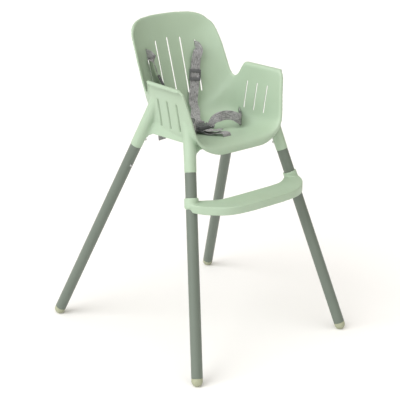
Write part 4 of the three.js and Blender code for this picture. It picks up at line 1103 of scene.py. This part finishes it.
# %% webbing: band
def webbing(name, stations, mirror=1):
    """A strap along its stations, with its place across and along the band as a UV layer."""
    path = [(p * (mirror, 1, 1), w * (mirror, 1, 1)) for p, w in smooth_path(stations)]
    half, thick = WEB_WIDTH / 2, WEB_THICKNESS / 2
    flat, side = half - 0.5, thick * 0.4
    section = [(-flat, -thick), (flat, -thick), (half, -side), (half, side)]
    section += [(flat, thick), (-flat, thick), (-half, side), (-half, -side)]
    count = len(section)
    points, places = [], []
    travelled = 0.0
    for i, (point, width) in enumerate(path):
        after, before = path[min(i + 1, len(path) - 1)][0], path[max(i - 1, 0)][0]
        heading = unit(after - before)
        width = unit(width - heading * (width @ heading))
        face = np.cross(heading, width)
        travelled += float(np.linalg.norm(point - before)) if i else 0.0
        for a, b in section:
            points.append((point + width * a + face * b) * MM)
            places.append((a * MM, travelled * MM))
    faces = [tuple(range(count))]
    for i in range(len(path) - 1):
        for s in range(count):
            t = (s + 1) % count
            faces.append((count * i + s, count * i + t, count * (i + 1) + t, count * (i + 1) + s))
    faces.append(tuple(range(len(points) - count, len(points))))
    piece = make_piece(name, points, faces)
    layer = piece.data.uv_layers.new(name="band")
    for one in piece.data.loops:
        layer.data[one.index].uv = places[one.vertex_index]
    return piece


print("webbing:", WEB_WIDTH, "x", WEB_THICKNESS, "mm")

# %% [markdown]
# ### Bars and straight runs
#
# Two forms return on every strap. Round a tongue's bar the band makes a half turn and comes back on
# itself. Where an adjuster slides, the band has to be dead straight, so the stations stand close
# together there.

# %% webbing: turns and runs
BAR_TURN_RADIUS = 3.9


def turn_round_bar(centre, outward, width):
    """Down outside a bar, round under it and up inside it."""
    stations = []
    for step in range(7):
        turn = step * math.pi / 6
        spot = Vector(centre) + Vector(outward) * BAR_TURN_RADIUS * math.cos(turn)
        spot.z -= BAR_TURN_RADIUS * math.sin(turn)
        stations.append((tuple(spot), width))
    end = Vector(centre) - Vector(outward) * BAR_TURN_RADIUS
    stations.append(((end.x, end.y, end.z + 9), width))
    return stations


def drawn_on_the_left(joint, side):
    """Where an adjuster is and which way it slides, as seen on the left, in millimetres."""
    centre, heading = Vector(joint["pos_m"]) / MM, Vector(joint["axis"])
    centre.x *= side
    heading.x *= side
    return centre, heading


def straight_run(centre, heading, width, start, end):
    """Stations on a straight run, close together so that the curve doesn't bow there."""
    heading = Vector(heading).normalized()
    spots = np.linspace(start, end, round((end - start) / 4) + 1)
    return [(tuple(Vector(centre) + heading * float(s)), width) for s in spots]


print("bar turn radius:", BAR_TURN_RADIUS, "mm")

# %% [markdown]
# ### Shoulder webbing, through the back
#
# The tail of each shoulder strap hangs close behind the back. It comes up to its stop plate and
# passes through the outermost slot with its width standing upright. Both straps share this part, so
# its stations are drawn once and mirrored.

# %% shoulder webbing: through the back
ACROSS_X = (1, 0, 0)
UPRIGHT = (0.03, 0.26, 0.96)
stop = (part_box("shoulder_stop_left")[0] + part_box("shoulder_stop_left")[1]) / 2 / MM
SHOULDER_X = 2 * BACK_SLOT_PITCH - 0.2
SHOULDER_Y = stop.y - 15
SHOULDER_Z = SEAT + 204


def through_the_back(x, y, z):
    """From the tail behind the back to just in front of the slot, whose middle is at x, y and z."""
    return [
        ((60, y - 29.5, z - 245), ACROSS_X),
        ((63, y - 27.5, z - 200), ACROSS_X),
        ((68, y - 19.5, z - 145), ACROSS_X),
        ((74, y - 3.5, z - 85), ACROSS_X),
        ((x - 7, y + 15.5, z - 38), ACROSS_X),
        ((x - 3.5, y + 27.5, z - 18), (0.8, -0.2, 0.5)),
        ((x - 1.5, y + 30.5, z - 6), (0.35, 0.2, 0.9)),
        ((x, y + 26.5, z - 0.4), UPRIGHT),
        ((x, y + 21.5, z), UPRIGHT),
        ((x, y + 14, z), UPRIGHT),
        ((x, y + 6, z), UPRIGHT),
        ((x, y - 2, z), UPRIGHT),
        ((x, y - 9, z), UPRIGHT),
    ]


print("shoulder slots at x", SHOULDER_X, "mm, y", round(SHOULDER_Y, 1), "mm")

# %% [markdown]
# ### Shoulder webbing, down to the tongues
#
# In front of the back the two straps lie differently: the left one is turned to face forward, the
# right one has fallen on its edge. Each is straight where its adjuster grips it, and ends round the
# bar of its tongue. The lower end moves with the tongue and the upper end with the chair, but here
# the strap is made in place and given no body.

# %% shoulder webbing: down to the tongues
def shoulder_webbing(side, hand):
    """One shoulder strap, drawn on the left and mirrored for the right."""
    centre, heading = drawn_on_the_left(joints[f"slide_{hand}_shoulder_adjuster"], side)
    x, y, z = SHOULDER_X, SHOULDER_Y, SHOULDER_Z
    bar = (side * BUCKLE.x + 19, BUCKLE.y + 30.5, BUCKLE.z)
    stations = through_the_back(x, y, z)
    if side == 1:
        width = (0.86, -0.45, -0.15)
        stations += [
            ((x - 1, y - 14, z - 2.5), (0.25, 0.1, 0.95)),
            ((x - 4.8, y - 17.5, z - 12), (0.75, -0.35, 0.6)),
            ((76, y - 19, z - 27), (0.9, -0.4, 0.1)),
        ]
        low = [((47.5, 86, SEAT + 79), (0.9, -0.4, -0.1)), ((40, 79, SEAT + 54), (0.95, -0.3, -0.1))]
    else:
        width = (-0.5, 0.8, 0)
        stations += [
            ((x - 1.5, y - 14, z - 2.5), (0.1, 0.1, 0.95)),
            ((x - 3.8, y - 19.5, z - 12), (-0.15, 0.5, 0.8)),
            ((80, y - 24.5, z - 27), (-0.4, 0.8, 0.25)),
        ]
        low = [((47.5, 80, SEAT + 79), (0.1, 1, 0)), ((40, 79, SEAT + 54), (0.7, 0.7, 0))]
    stations += straight_run(centre, heading, width, -26, 26) + low
    stations += [
        ((34, 62, SEAT + 37), ACROSS_X),
        ((mix(34, bar[0], 0.6), 38, SEAT + 26), ACROSS_X),
        ((bar[0], bar[1] + 14, SEAT + 23), ACROSS_X),
        ((bar[0], bar[1] + 5.5, SEAT + 19), ACROSS_X),
    ]
    stations += turn_round_bar(bar, (0, 1, 0), ACROSS_X)
    strap = webbing(f"shoulder_webbing_{hand}", stations, side)
    settle(strap, None, "webbing", f"shoulder_strap_{hand}")
    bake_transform(strap)


print("shoulder bars at y", round(BUCKLE.y + 30.5, 1), "mm")

# %% [markdown]
# ### Waist webbing
#
# A waist strap comes out of its pocket in the wall, runs straight through its adjuster and then
# stands up in a free loop on its way to the tongue, on its edge, as stiff webbing does. Like the
# shoulder straps, it is made in place and given no body.

# %% waist webbing
def waist_webbing(side, hand):
    """One waist strap, from behind the wall to its tongue."""
    centre, heading = drawn_on_the_left(joints[f"slide_{hand}_waist_adjuster"], side)
    level, up = centre.z, (0, 0, 1)
    bar = (side * BUCKLE.x + 31.5, BUCKLE.y, BUCKLE.z)
    stations = straight_run(centre, heading, up, -62, 25) + [
        ((84, -71, level + 5), up),
        ((76, -67, level + 11), up),
        ((65, -55, level + 16), up),
        ((mix(54, bar[0] + 30, 0.4), -44, level + 16), up),
        ((mix(40, bar[0] + 20, 0.6), -38, level + 13), (0.1, 0.4, 0.9)),
        ((bar[0] + 12, BUCKLE.y - 4, level + 6), (0, 0.9, 0.4)),
        ((bar[0] + 6, BUCKLE.y, level - 3), (0, 1, 0)),
    ]
    stations += turn_round_bar(bar, (1, 0, 0), (0, 1, 0))
    strap = webbing(f"waist_webbing_{hand}", stations, side)
    settle(strap, None, "webbing", f"waist_strap_{hand}")
    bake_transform(strap)


print("waist bars at x", [round(side * BUCKLE.x + 31.5, 1) for side in (1, -1)], "mm")

# %% [markdown]
# ### Crotch webbing
#
# The strap between the child's legs comes up through the floor, goes round the bar of the buckle and
# ends in a loose tail over itself. It doesn't move, so it simply rides on the chair.

# %% crotch webbing
def crotch_webbing():
    """The strap between the child's legs, with its tail folded back over itself."""
    x, y, z = BUCKLE.x, BUCKLE.y - 26, BUCKLE.z - 3.4
    slot_y = crotch.y / MM
    leaning = (1, 0.3, 0)
    stations = [((0, slot_y, SEAT - 18), ACROSS_X), ((0, slot_y, SEAT - 10), ACROSS_X)]
    stations += [((0, slot_y, SEAT - 2), ACROSS_X), ((0, slot_y, SEAT + 6), ACROSS_X)]
    stations += [((-0.5, slot_y + 2, SEAT + 11), ACROSS_X), ((-2, slot_y + 9, SEAT + 13), leaning)]
    stations += [((-8, slot_y + 24, SEAT + 11), leaning), ((x + 3, y - 14, z - 4), (1, 0.15, 0))]
    stations += [((x, y - 4, z - 4.1), ACROSS_X)]
    for step in range(7):
        turn = -math.pi / 2 + step * math.pi / 6
        stations.append(((x, y + 4.1 * math.cos(turn), z + 4.1 * math.sin(turn)), ACROSS_X))
    stations += [((x + 2, y - 14, z + 4), (1, 0.15, 0)), ((x + 8, y - 28, z + 8), leaning)]
    stations += [((x + 15, y - 42, z + 10), leaning)]
    settle(webbing("crotch_webbing", stations), "chair", "webbing", "crotch_strap")


for side, hand in ((1, "left"), (-1, "right")):
    shoulder_webbing(side, hand)
    waist_webbing(side, hand)
crotch_webbing()
print("straps:", [name for name in made if "webbing" in name])

# %% [markdown]
# ## Buckle, tongues and adjusters
#
# These are small mouldings with thick walls and rounded edges. Their CAD shapes have square edges, so
# each one is taken into the mesh editor: its flat faces are merged, and a bevel of about half a
# millimetre goes round every edge, as a mould maker's cutter leaves it.

# %% small fittings
def rounded(node, name, body, slot, width=0.55, segments=3):
    """A CAD node again, with its edges rounded over by a width in millimetres."""
    piece = copy_of(node, name)
    tidy = bmesh.new()
    tidy.from_mesh(piece.data)
    bmesh.ops.remove_doubles(tidy, verts=tidy.verts, dist=1e-6)
    bmesh.ops.dissolve_limit(tidy, angle_limit=math.radians(2), verts=tidy.verts, edges=tidy.edges)
    tidy.to_mesh(piece.data)
    tidy.free()
    bevel = piece.modifiers.new("round over", "BEVEL")
    bevel.width = width * MM
    bevel.segments = segments
    bevel.limit_method = "ANGLE"
    bevel.angle_limit = math.radians(32)
    apply_modifiers(piece)
    settle(piece, body, slot, node, angle=45)


for hand in ("left", "right"):
    for place in ("shoulder", "waist"):
        slider = f"{place}_adjuster_{hand}"
        rounded(slider, f"{place}_glide_{hand}", slider, "fitting")
    rounded(f"tongue_{hand}", f"buckle_tongue_{hand}", f"tongue_{hand}", "fitting")
    rounded(f"shoulder_stop_{hand}", f"shoulder_plate_{hand}", "chair", "fitting", 0.4, 2)
rounded("crotch_stop", "crotch_plate", "chair", "fitting", 0.4, 2)
rounded("buckle_base", "buckle_lower_half", "chair", "fitting", 0.8)
rounded("buckle_cover", "buckle_upper_half", "chair", "fitting", 0.8)
rounded("buckle_button", "release_button", "buckle_release", "fitting", 0.5)

print("fittings:", [name for name in made if name.startswith(("shoulder_glide", "buckle"))])

# %% [markdown]
# ### The release spring
#
# Under the buckle's button sits a small coil spring. Like the leaf springs, it keeps its engineering
# shape here and rides on the chair. The real one goes down to a little over half its height when the
# button is pressed.

# %% release spring
coil = copy_of("buckle_spring", "release_coil")
settle(coil, "chair", "zinc", "buckle_spring")
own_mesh(coil)
print("pieces made:", len(made))

# %% [markdown]
# ## Surfaces
#
# The seat and footrest are satin polypropylene, spark-eroded so finely that only the highlight shows
# it. The legs have a powder coat with a faint orange peel, the caps are a softer, matt plastic, and
# the webbing is a grey melange weave. Shared patterns are node groups that give only values and
# colours. The shader of each material stays in the material.

# %% node helpers
def group(name, inputs, outputs):
    """An empty node group with its named inputs (label, kind, default) and outputs."""
    tree = bpy.data.node_groups.new(name, "ShaderNodeTree")
    for label, kind, default in inputs:
        item = tree.interface.new_socket(label, in_out="INPUT", socket_type=kind)
        item.default_value = default
    for label, kind in outputs:
        tree.interface.new_socket(label, in_out="OUTPUT", socket_type=kind)
    return tree, tree.nodes.new("NodeGroupInput"), tree.nodes.new("NodeGroupOutput")


def add(tree, kind, **values):
    """A new node. _name sets a property of it, i2 its third input, and any other word an input."""
    node = tree.nodes.new(kind)
    for key, value in values.items():
        if key.startswith("_"):
            setattr(node, key[1:], value)
            continue
        by_number = key[0] == "i" and key[1:].isdigit()
        node.inputs[int(key[1:]) if by_number else key].default_value = value
    return node


print("node helpers ready")

# %% [markdown]
# ### Grain
#
# A mould is spark-eroded, which leaves an even, very fine grain on the plastic, and a large thin wall
# is never quite flat. One group gives both: a height for the bump, an uneven gloss as left by hands
# and cloths, and a slow change of tone. Painted tubes use it too, at a finer scale.

# %% node group: moulded grain
def moulded_grain():
    """Fine tooling texture plus slow waves in the wall: height, gloss variation and tone."""
    tree, given, result = group(
        "moulded grain", [("Scale", "NodeSocketFloat", 1400.0)],
        [("Height", "NodeSocketFloat"), ("Gloss", "NodeSocketFloat"), ("Tone", "NodeSocketFloat")])
    place = add(tree, "ShaderNodeTexCoord")
    fine = add(tree, "ShaderNodeTexNoise", Detail=3.0, Roughness=0.6)
    tree.links.new(place.outputs["Object"], fine.inputs["Vector"])
    tree.links.new(given.outputs["Scale"], fine.inputs["Scale"])
    wave = add(tree, "ShaderNodeTexNoise", Scale=16.0, Detail=1.0)
    tree.links.new(place.outputs["Object"], wave.inputs["Vector"])
    smear = add(tree, "ShaderNodeTexNoise", Scale=55.0, Detail=4.0, Roughness=0.65, Distortion=0.8)
    tree.links.new(place.outputs["Object"], smear.inputs["Vector"])
    slow = add(tree, "ShaderNodeMath", _operation="MULTIPLY", i1=0.6)
    tree.links.new(wave.outputs["Fac"], slow.inputs[0])
    height = add(tree, "ShaderNodeMath", _operation="MULTIPLY_ADD", i1=0.4)
    tree.links.new(fine.outputs["Fac"], height.inputs[0])
    tree.links.new(slow.outputs[0], height.inputs[2])
    tree.links.new(height.outputs[0], result.inputs["Height"])
    tree.links.new(smear.outputs["Fac"], result.inputs["Gloss"])
    tree.links.new(wave.outputs["Fac"], result.inputs["Tone"])
    return tree


GRAIN = moulded_grain()
print("group:", GRAIN.name, len(GRAIN.nodes), "nodes")

# %% [markdown]
# ### Edge highlight
#
# A painted highlight lightens the outward edges, but not evenly. The mesh's own pointiness finds the
# edges, and a noise breaks the line up. The threshold is high, so that round tubes, which are pointed
# everywhere a little, stay without it.

# %% node group: painted edge highlight
def painted_edge_highlight():
    """Where the painted highlight goes: a thin broken line of lighter colour along the outward edges."""
    tree, given, result = group(
        "painted edge highlight", [("Amount", "NodeSocketFloat", 1.0)], [("Mask", "NodeSocketFloat")])
    form = add(tree, "ShaderNodeNewGeometry")
    ramp = add(tree, "ShaderNodeMapRange", **{"From Min": 0.58, "From Max": 0.74})
    tree.links.new(form.outputs["Pointiness"], ramp.inputs["Value"])
    place = add(tree, "ShaderNodeTexCoord")
    broken = add(tree, "ShaderNodeTexNoise", Scale=220.0, Detail=3.0)
    tree.links.new(place.outputs["Object"], broken.inputs["Vector"])
    patch = add(tree, "ShaderNodeMapRange", **{"From Min": 0.42, "From Max": 0.62})
    tree.links.new(broken.outputs["Fac"], patch.inputs["Value"])
    both = add(tree, "ShaderNodeMath", _operation="MULTIPLY")
    tree.links.new(ramp.outputs[0], both.inputs[0])
    tree.links.new(patch.outputs[0], both.inputs[1])
    scaled = add(tree, "ShaderNodeMath", _operation="MULTIPLY")
    tree.links.new(both.outputs[0], scaled.inputs[0])
    tree.links.new(given.outputs["Amount"], scaled.inputs[1])
    tree.links.new(scaled.outputs[0], result.inputs["Mask"])
    return tree


# the group that paints a highlight along the outward edges
EDGE_HIGHLIGHT_GROUP = painted_edge_highlight()
print("group:", EDGE_HIGHLIGHT_GROUP.name, len(EDGE_HIGHLIGHT_GROUP.nodes), "nodes")

# %% [markdown]
# ### Weave
#
# Harness webbing is woven from thick, shiny yarns of mixed greys. The weave runs with the band, so it
# is made from the UV layer that each strap carries and not from the object's space. Two crossed waves
# make the bumps of the yarns, and a noise that is drawn out along the band makes the fibres.

# %% node group: band weave
def band_weave():
    """A twill of fine yarns, from the place across and along the band."""
    tree, given, result = group(
        "band weave", [("Pitch", "NodeSocketFloat", 0.0013)],
        [("Height", "NodeSocketFloat"), ("Yarn", "NodeSocketFloat"), ("Fibre", "NodeSocketFloat")])
    place = add(tree, "ShaderNodeUVMap", _uv_map="band")
    split = add(tree, "ShaderNodeSeparateXYZ")
    tree.links.new(place.outputs["UV"], split.inputs[0])

    def wave(source, multiple):
        ratio = add(tree, "ShaderNodeMath", _operation="DIVIDE")
        tree.links.new(source, ratio.inputs[0])
        tree.links.new(given.outputs["Pitch"], ratio.inputs[1])
        angle = add(tree, "ShaderNodeMath", _operation="MULTIPLY", i1=2 * math.pi * multiple)
        tree.links.new(ratio.outputs[0], angle.inputs[0])
        sine = add(tree, "ShaderNodeMath", _operation="SINE")
        tree.links.new(angle.outputs[0], sine.inputs[0])
        return sine.outputs[0]

    across = wave(split.outputs["X"], 1.0)
    slanted = add(tree, "ShaderNodeMath", _operation="MULTIPLY_ADD", i1=0.5)
    tree.links.new(split.outputs["X"], slanted.inputs[0])
    tree.links.new(split.outputs["Y"], slanted.inputs[2])
    lengthways = wave(slanted.outputs[0], 0.8)
    product = add(tree, "ShaderNodeMath", _operation="MULTIPLY_ADD", i2=0.5)
    tree.links.new(across, product.inputs[0])
    tree.links.new(lengthways, product.inputs[1])
    stretch = add(tree, "ShaderNodeCombineXYZ")
    long = add(tree, "ShaderNodeMath", _operation="MULTIPLY", i1=0.22)
    tree.links.new(split.outputs["Y"], long.inputs[0])
    tree.links.new(split.outputs["X"], stretch.inputs["X"])
    tree.links.new(long.outputs[0], stretch.inputs["Y"])
    fibre = add(tree, "ShaderNodeTexNoise", Scale=420.0, Detail=4.0, Roughness=0.75)
    tree.links.new(stretch.outputs[0], fibre.inputs["Vector"])
    tree.links.new(product.outputs[0], result.inputs["Height"])
    tree.links.new(product.outputs[0], result.inputs["Yarn"])
    tree.links.new(fibre.outputs["Fac"], result.inputs["Fibre"])
    return tree


WEAVE = band_weave()
print("group:", WEAVE.name, len(WEAVE.nodes), "nodes")

# %% [markdown]
# ### From groups to materials
#
# Every material is one Principled shader. Its fixed values, such as sheen and coat, are set on the
# shader itself, and the groups only drive what changes over the surface: colour, roughness and
# normal.

# %% material helpers
def material(name, roughness, metallic=0.0, sheen=0.0, coat=0.0):
    """A material with one Principled shader and its fixed values."""
    made_of = bpy.data.materials.new(name)
    made_of.use_nodes = True
    tree = made_of.node_tree
    shader = tree.nodes["Principled BSDF"]
    shader.inputs["Roughness"].default_value = roughness
    shader.inputs["Metallic"].default_value = metallic
    shader.inputs["Sheen Weight"].default_value = sheen
    shader.inputs["Coat Weight"].default_value = coat
    shader.inputs["Coat Roughness"].default_value = 0.35
    return made_of, tree, shader


def colour_between(tree, factor, low, high):
    """A mix of two plain colours by a value that changes over the surface."""
    blend = add(tree, "ShaderNodeMix", _data_type="RGBA")
    blend.inputs[6].default_value = (*low, 1)
    blend.inputs[7].default_value = (*high, 1)
    tree.links.new(factor, blend.inputs[0])
    return blend.outputs[2]


def moulded(name, low, high, edge_highlight_tone, roughness, spread, scale, depth, **extra):
    """Plastic or paint: two close tones, uneven gloss, tooling texture and a painted highlight on the edges."""
    made_of, tree, shader = material(name, roughness, **extra)
    grain = add(tree, "ShaderNodeGroup", _node_tree=GRAIN, Scale=scale)
    # painted highlight: a lighter tone is mixed in along the outward edges by the edge mask
    edge_highlight = add(tree, "ShaderNodeGroup", _node_tree=EDGE_HIGHLIGHT_GROUP, Amount=0.55)
    tone = colour_between(tree, grain.outputs["Tone"], low, high)
    tone_with_edge_highlight = add(tree, "ShaderNodeMix", _data_type="RGBA")
    tree.links.new(edge_highlight.outputs["Mask"], tone_with_edge_highlight.inputs[0])
    tree.links.new(tone, tone_with_edge_highlight.inputs[6])
    tone_with_edge_highlight.inputs[7].default_value = (*edge_highlight_tone, 1)
    tree.links.new(tone_with_edge_highlight.outputs[2], shader.inputs["Base Color"])
    limits = {"To Min": roughness - spread, "To Max": roughness + spread}
    gloss = add(tree, "ShaderNodeMapRange", **limits)
    tree.links.new(grain.outputs["Gloss"], gloss.inputs["Value"])
    tree.links.new(gloss.outputs[0], shader.inputs["Roughness"])
    bump = add(tree, "ShaderNodeBump", Strength=0.35, Distance=depth)
    tree.links.new(grain.outputs["Height"], bump.inputs["Height"])
    tree.links.new(bump.outputs["Normal"], shader.inputs["Normal"])
    return made_of


print("material helpers ready")

# %% [markdown]
# ### Webbing
#
# The melange comes from mixing a dark and a light grey by the fibres. The hollows between the yarns
# are darkened a little, as light doesn't reach into them, and a weak sheen lights up the fuzz.

# %% woven material
def woven(name, dark, light):
    """Webbing of mixed yarns, darker between the yarns."""
    made_of, tree, shader = material(name, 0.9, sheen=0.35)
    weave = add(tree, "ShaderNodeGroup", _node_tree=WEAVE)
    spread = add(tree, "ShaderNodeMapRange", **{"From Min": 0.38, "From Max": 0.62})
    tree.links.new(weave.outputs["Fibre"], spread.inputs["Value"])
    melange = colour_between(tree, spread.outputs[0], dark, light)
    limits = {"From Min": 0.0, "From Max": 0.8, "To Min": 0.62, "To Max": 1.0}
    shadow = add(tree, "ShaderNodeMapRange", **limits)
    tree.links.new(weave.outputs["Yarn"], shadow.inputs["Value"])
    shaded = add(tree, "ShaderNodeMix", _data_type="RGBA", _blend_type="MULTIPLY")
    shaded.inputs[0].default_value = 1.0
    tree.links.new(melange, shaded.inputs[6])
    tree.links.new(shadow.outputs[0], shaded.inputs[7])
    tree.links.new(shaded.outputs[2], shader.inputs["Base Color"])
    bump = add(tree, "ShaderNodeBump", Strength=0.7, Distance=0.00035)
    tree.links.new(weave.outputs["Height"], bump.inputs["Height"])
    tree.links.new(bump.outputs["Normal"], shader.inputs["Normal"])
    return made_of


print("woven material ready")

# %% [markdown]
# ### The finishes of this chair
#
# Each finish has two tones close together, a lighter tone for its painted edge highlight, its roughness
# and how far that varies, the scale of its grain and the depth of its bump in metres. The record names
# a slot for every piece, and the slot picks the finish. The CAD nodes get the same finishes.

# %% finishes
# the third colour of each finish is its painted edge highlight
FINISHES = {
    "shell": moulded(
        "satin sage plastic", (0.365, 0.475, 0.345), (0.395, 0.51, 0.39), (0.50, 0.59, 0.47),
        roughness=0.46, spread=0.05, scale=1500.0, depth=0.0002, coat=0.12),
    "tube": moulded(
        "powder coat", (0.128, 0.158, 0.130), (0.145, 0.176, 0.146), (0.24, 0.27, 0.23),
        roughness=0.40, spread=0.05, scale=1600.0, depth=0.00009, coat=0.12),
    "cap": moulded(
        "soft matt plastic", (0.34, 0.36, 0.25), (0.37, 0.39, 0.275), (0.46, 0.47, 0.36),
        roughness=0.62, spread=0.06, scale=1200.0, depth=0.0002),
    "zinc": moulded(
        "zinc plate", (0.52, 0.53, 0.54), (0.62, 0.62, 0.62), (0.75, 0.75, 0.74),
        roughness=0.34, spread=0.08, scale=2400.0, depth=0.0001, metallic=1.0),
    "fitting": moulded(
        "dark fitting plastic", (0.085, 0.09, 0.095), (0.105, 0.11, 0.115), (0.2, 0.2, 0.2),
        roughness=0.44, spread=0.07, scale=1700.0, depth=0.0002),
    "webbing": woven("grey melange webbing", (0.17, 0.17, 0.175), (0.56, 0.56, 0.57)),
}
node_slots = {part["node"]: part["material_slot"] for part in frame["record"]["subparts"]}
for name in made:
    piece = bpy.data.objects[name]
    piece.data.materials.clear()
    piece.data.materials.append(FINISHES[piece["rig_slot"]])
for node, cad in frame["nodes"].items():
    for index in range(len(cad.material_slots)):
        cad.material_slots[index].material = FINISHES[node_slots[node]]
print("finishes:", sorted(FINISHES))

# %% [markdown]
# ## Studio
#
# The floor is a plain pale sheet, wide enough that its far edge never shows. One very large soft
# light stands high on the left and a second one is overhead, so that the shadows on the floor stay
# soft and short. The tones are shown as they are, without a film curve, so that the pale plastic
# keeps its colour.

# %% floor
FLOOR_REACH = 30.0
floor_points = [(-FLOOR_REACH, -FLOOR_REACH, 0), (FLOOR_REACH, -FLOOR_REACH, 0),
                (FLOOR_REACH, FLOOR_REACH, 0), (-FLOOR_REACH, FLOOR_REACH, 0)]
floor = make_piece("floor", floor_points, [(0, 1, 2, 3)])
floor_look, floor_tree, floor_shader = material("pale floor", 0.85)
floor_noise = add(floor_tree, "ShaderNodeTexNoise", Scale=3.0, Detail=2.0)
floor_tone = colour_between(floor_tree, floor_noise.outputs["Fac"], (0.90,) * 3, (0.93,) * 3)
floor_tree.links.new(floor_tone, floor_shader.inputs["Base Color"])
floor.data.materials.append(floor_look)
print("floor reaches", FLOOR_REACH, "m each way")

# %% [markdown]
# ### Light
#
# A sun lamp with a wide angle falls evenly on everything, as a very large softbox far away would. The
# surround is brighter and neutral on the side of the key light, and dimmer and warmer on the other,
# which gives each tube its light side and its dark side.

# %% light
def soft_light(name, strength, width, towards):
    """A light so large and far away that it falls evenly on the chair and on the floor."""
    data = bpy.data.lights.new(name, "SUN")
    data.energy = strength
    data.angle = math.radians(width)
    light = bpy.data.objects.new(name, data)
    light.rotation_euler = Vector(towards).to_track_quat("Z", "Y").to_euler()
    bpy.context.scene.collection.objects.link(light)


soft_light("key", 1.75, 50, (-0.74, 0.06, 0.62))
soft_light("top", 1.15, 80, (-0.15, -0.45, 0.9))
world = bpy.data.worlds.new("surround")
bpy.context.scene.world = world
world.use_nodes = True
surround = world.node_tree
direction = add(surround, "ShaderNodeTexCoord")
towards_key = add(surround, "ShaderNodeVectorMath", _operation="DOT_PRODUCT")
towards_key.inputs[1].default_value = (-0.78, 0.2, 0.55)
surround.links.new(direction.outputs["Generated"], towards_key.inputs[0])
limits = {"From Min": -0.7, "From Max": 0.9, "To Min": 0.12, "To Max": 0.85}
falloff = add(surround, "ShaderNodeMapRange", **limits)
surround.links.new(towards_key.outputs["Value"], falloff.inputs["Value"])
surround.links.new(falloff.outputs[0], surround.nodes["Background"].inputs["Strength"])
warmth = colour_between(surround, falloff.outputs[0], (1.0, 0.84, 0.62), (1.0, 1.0, 1.0))
surround.links.new(warmth, surround.nodes["Background"].inputs["Color"])
bpy.context.scene.view_settings.view_transform = "Standard"
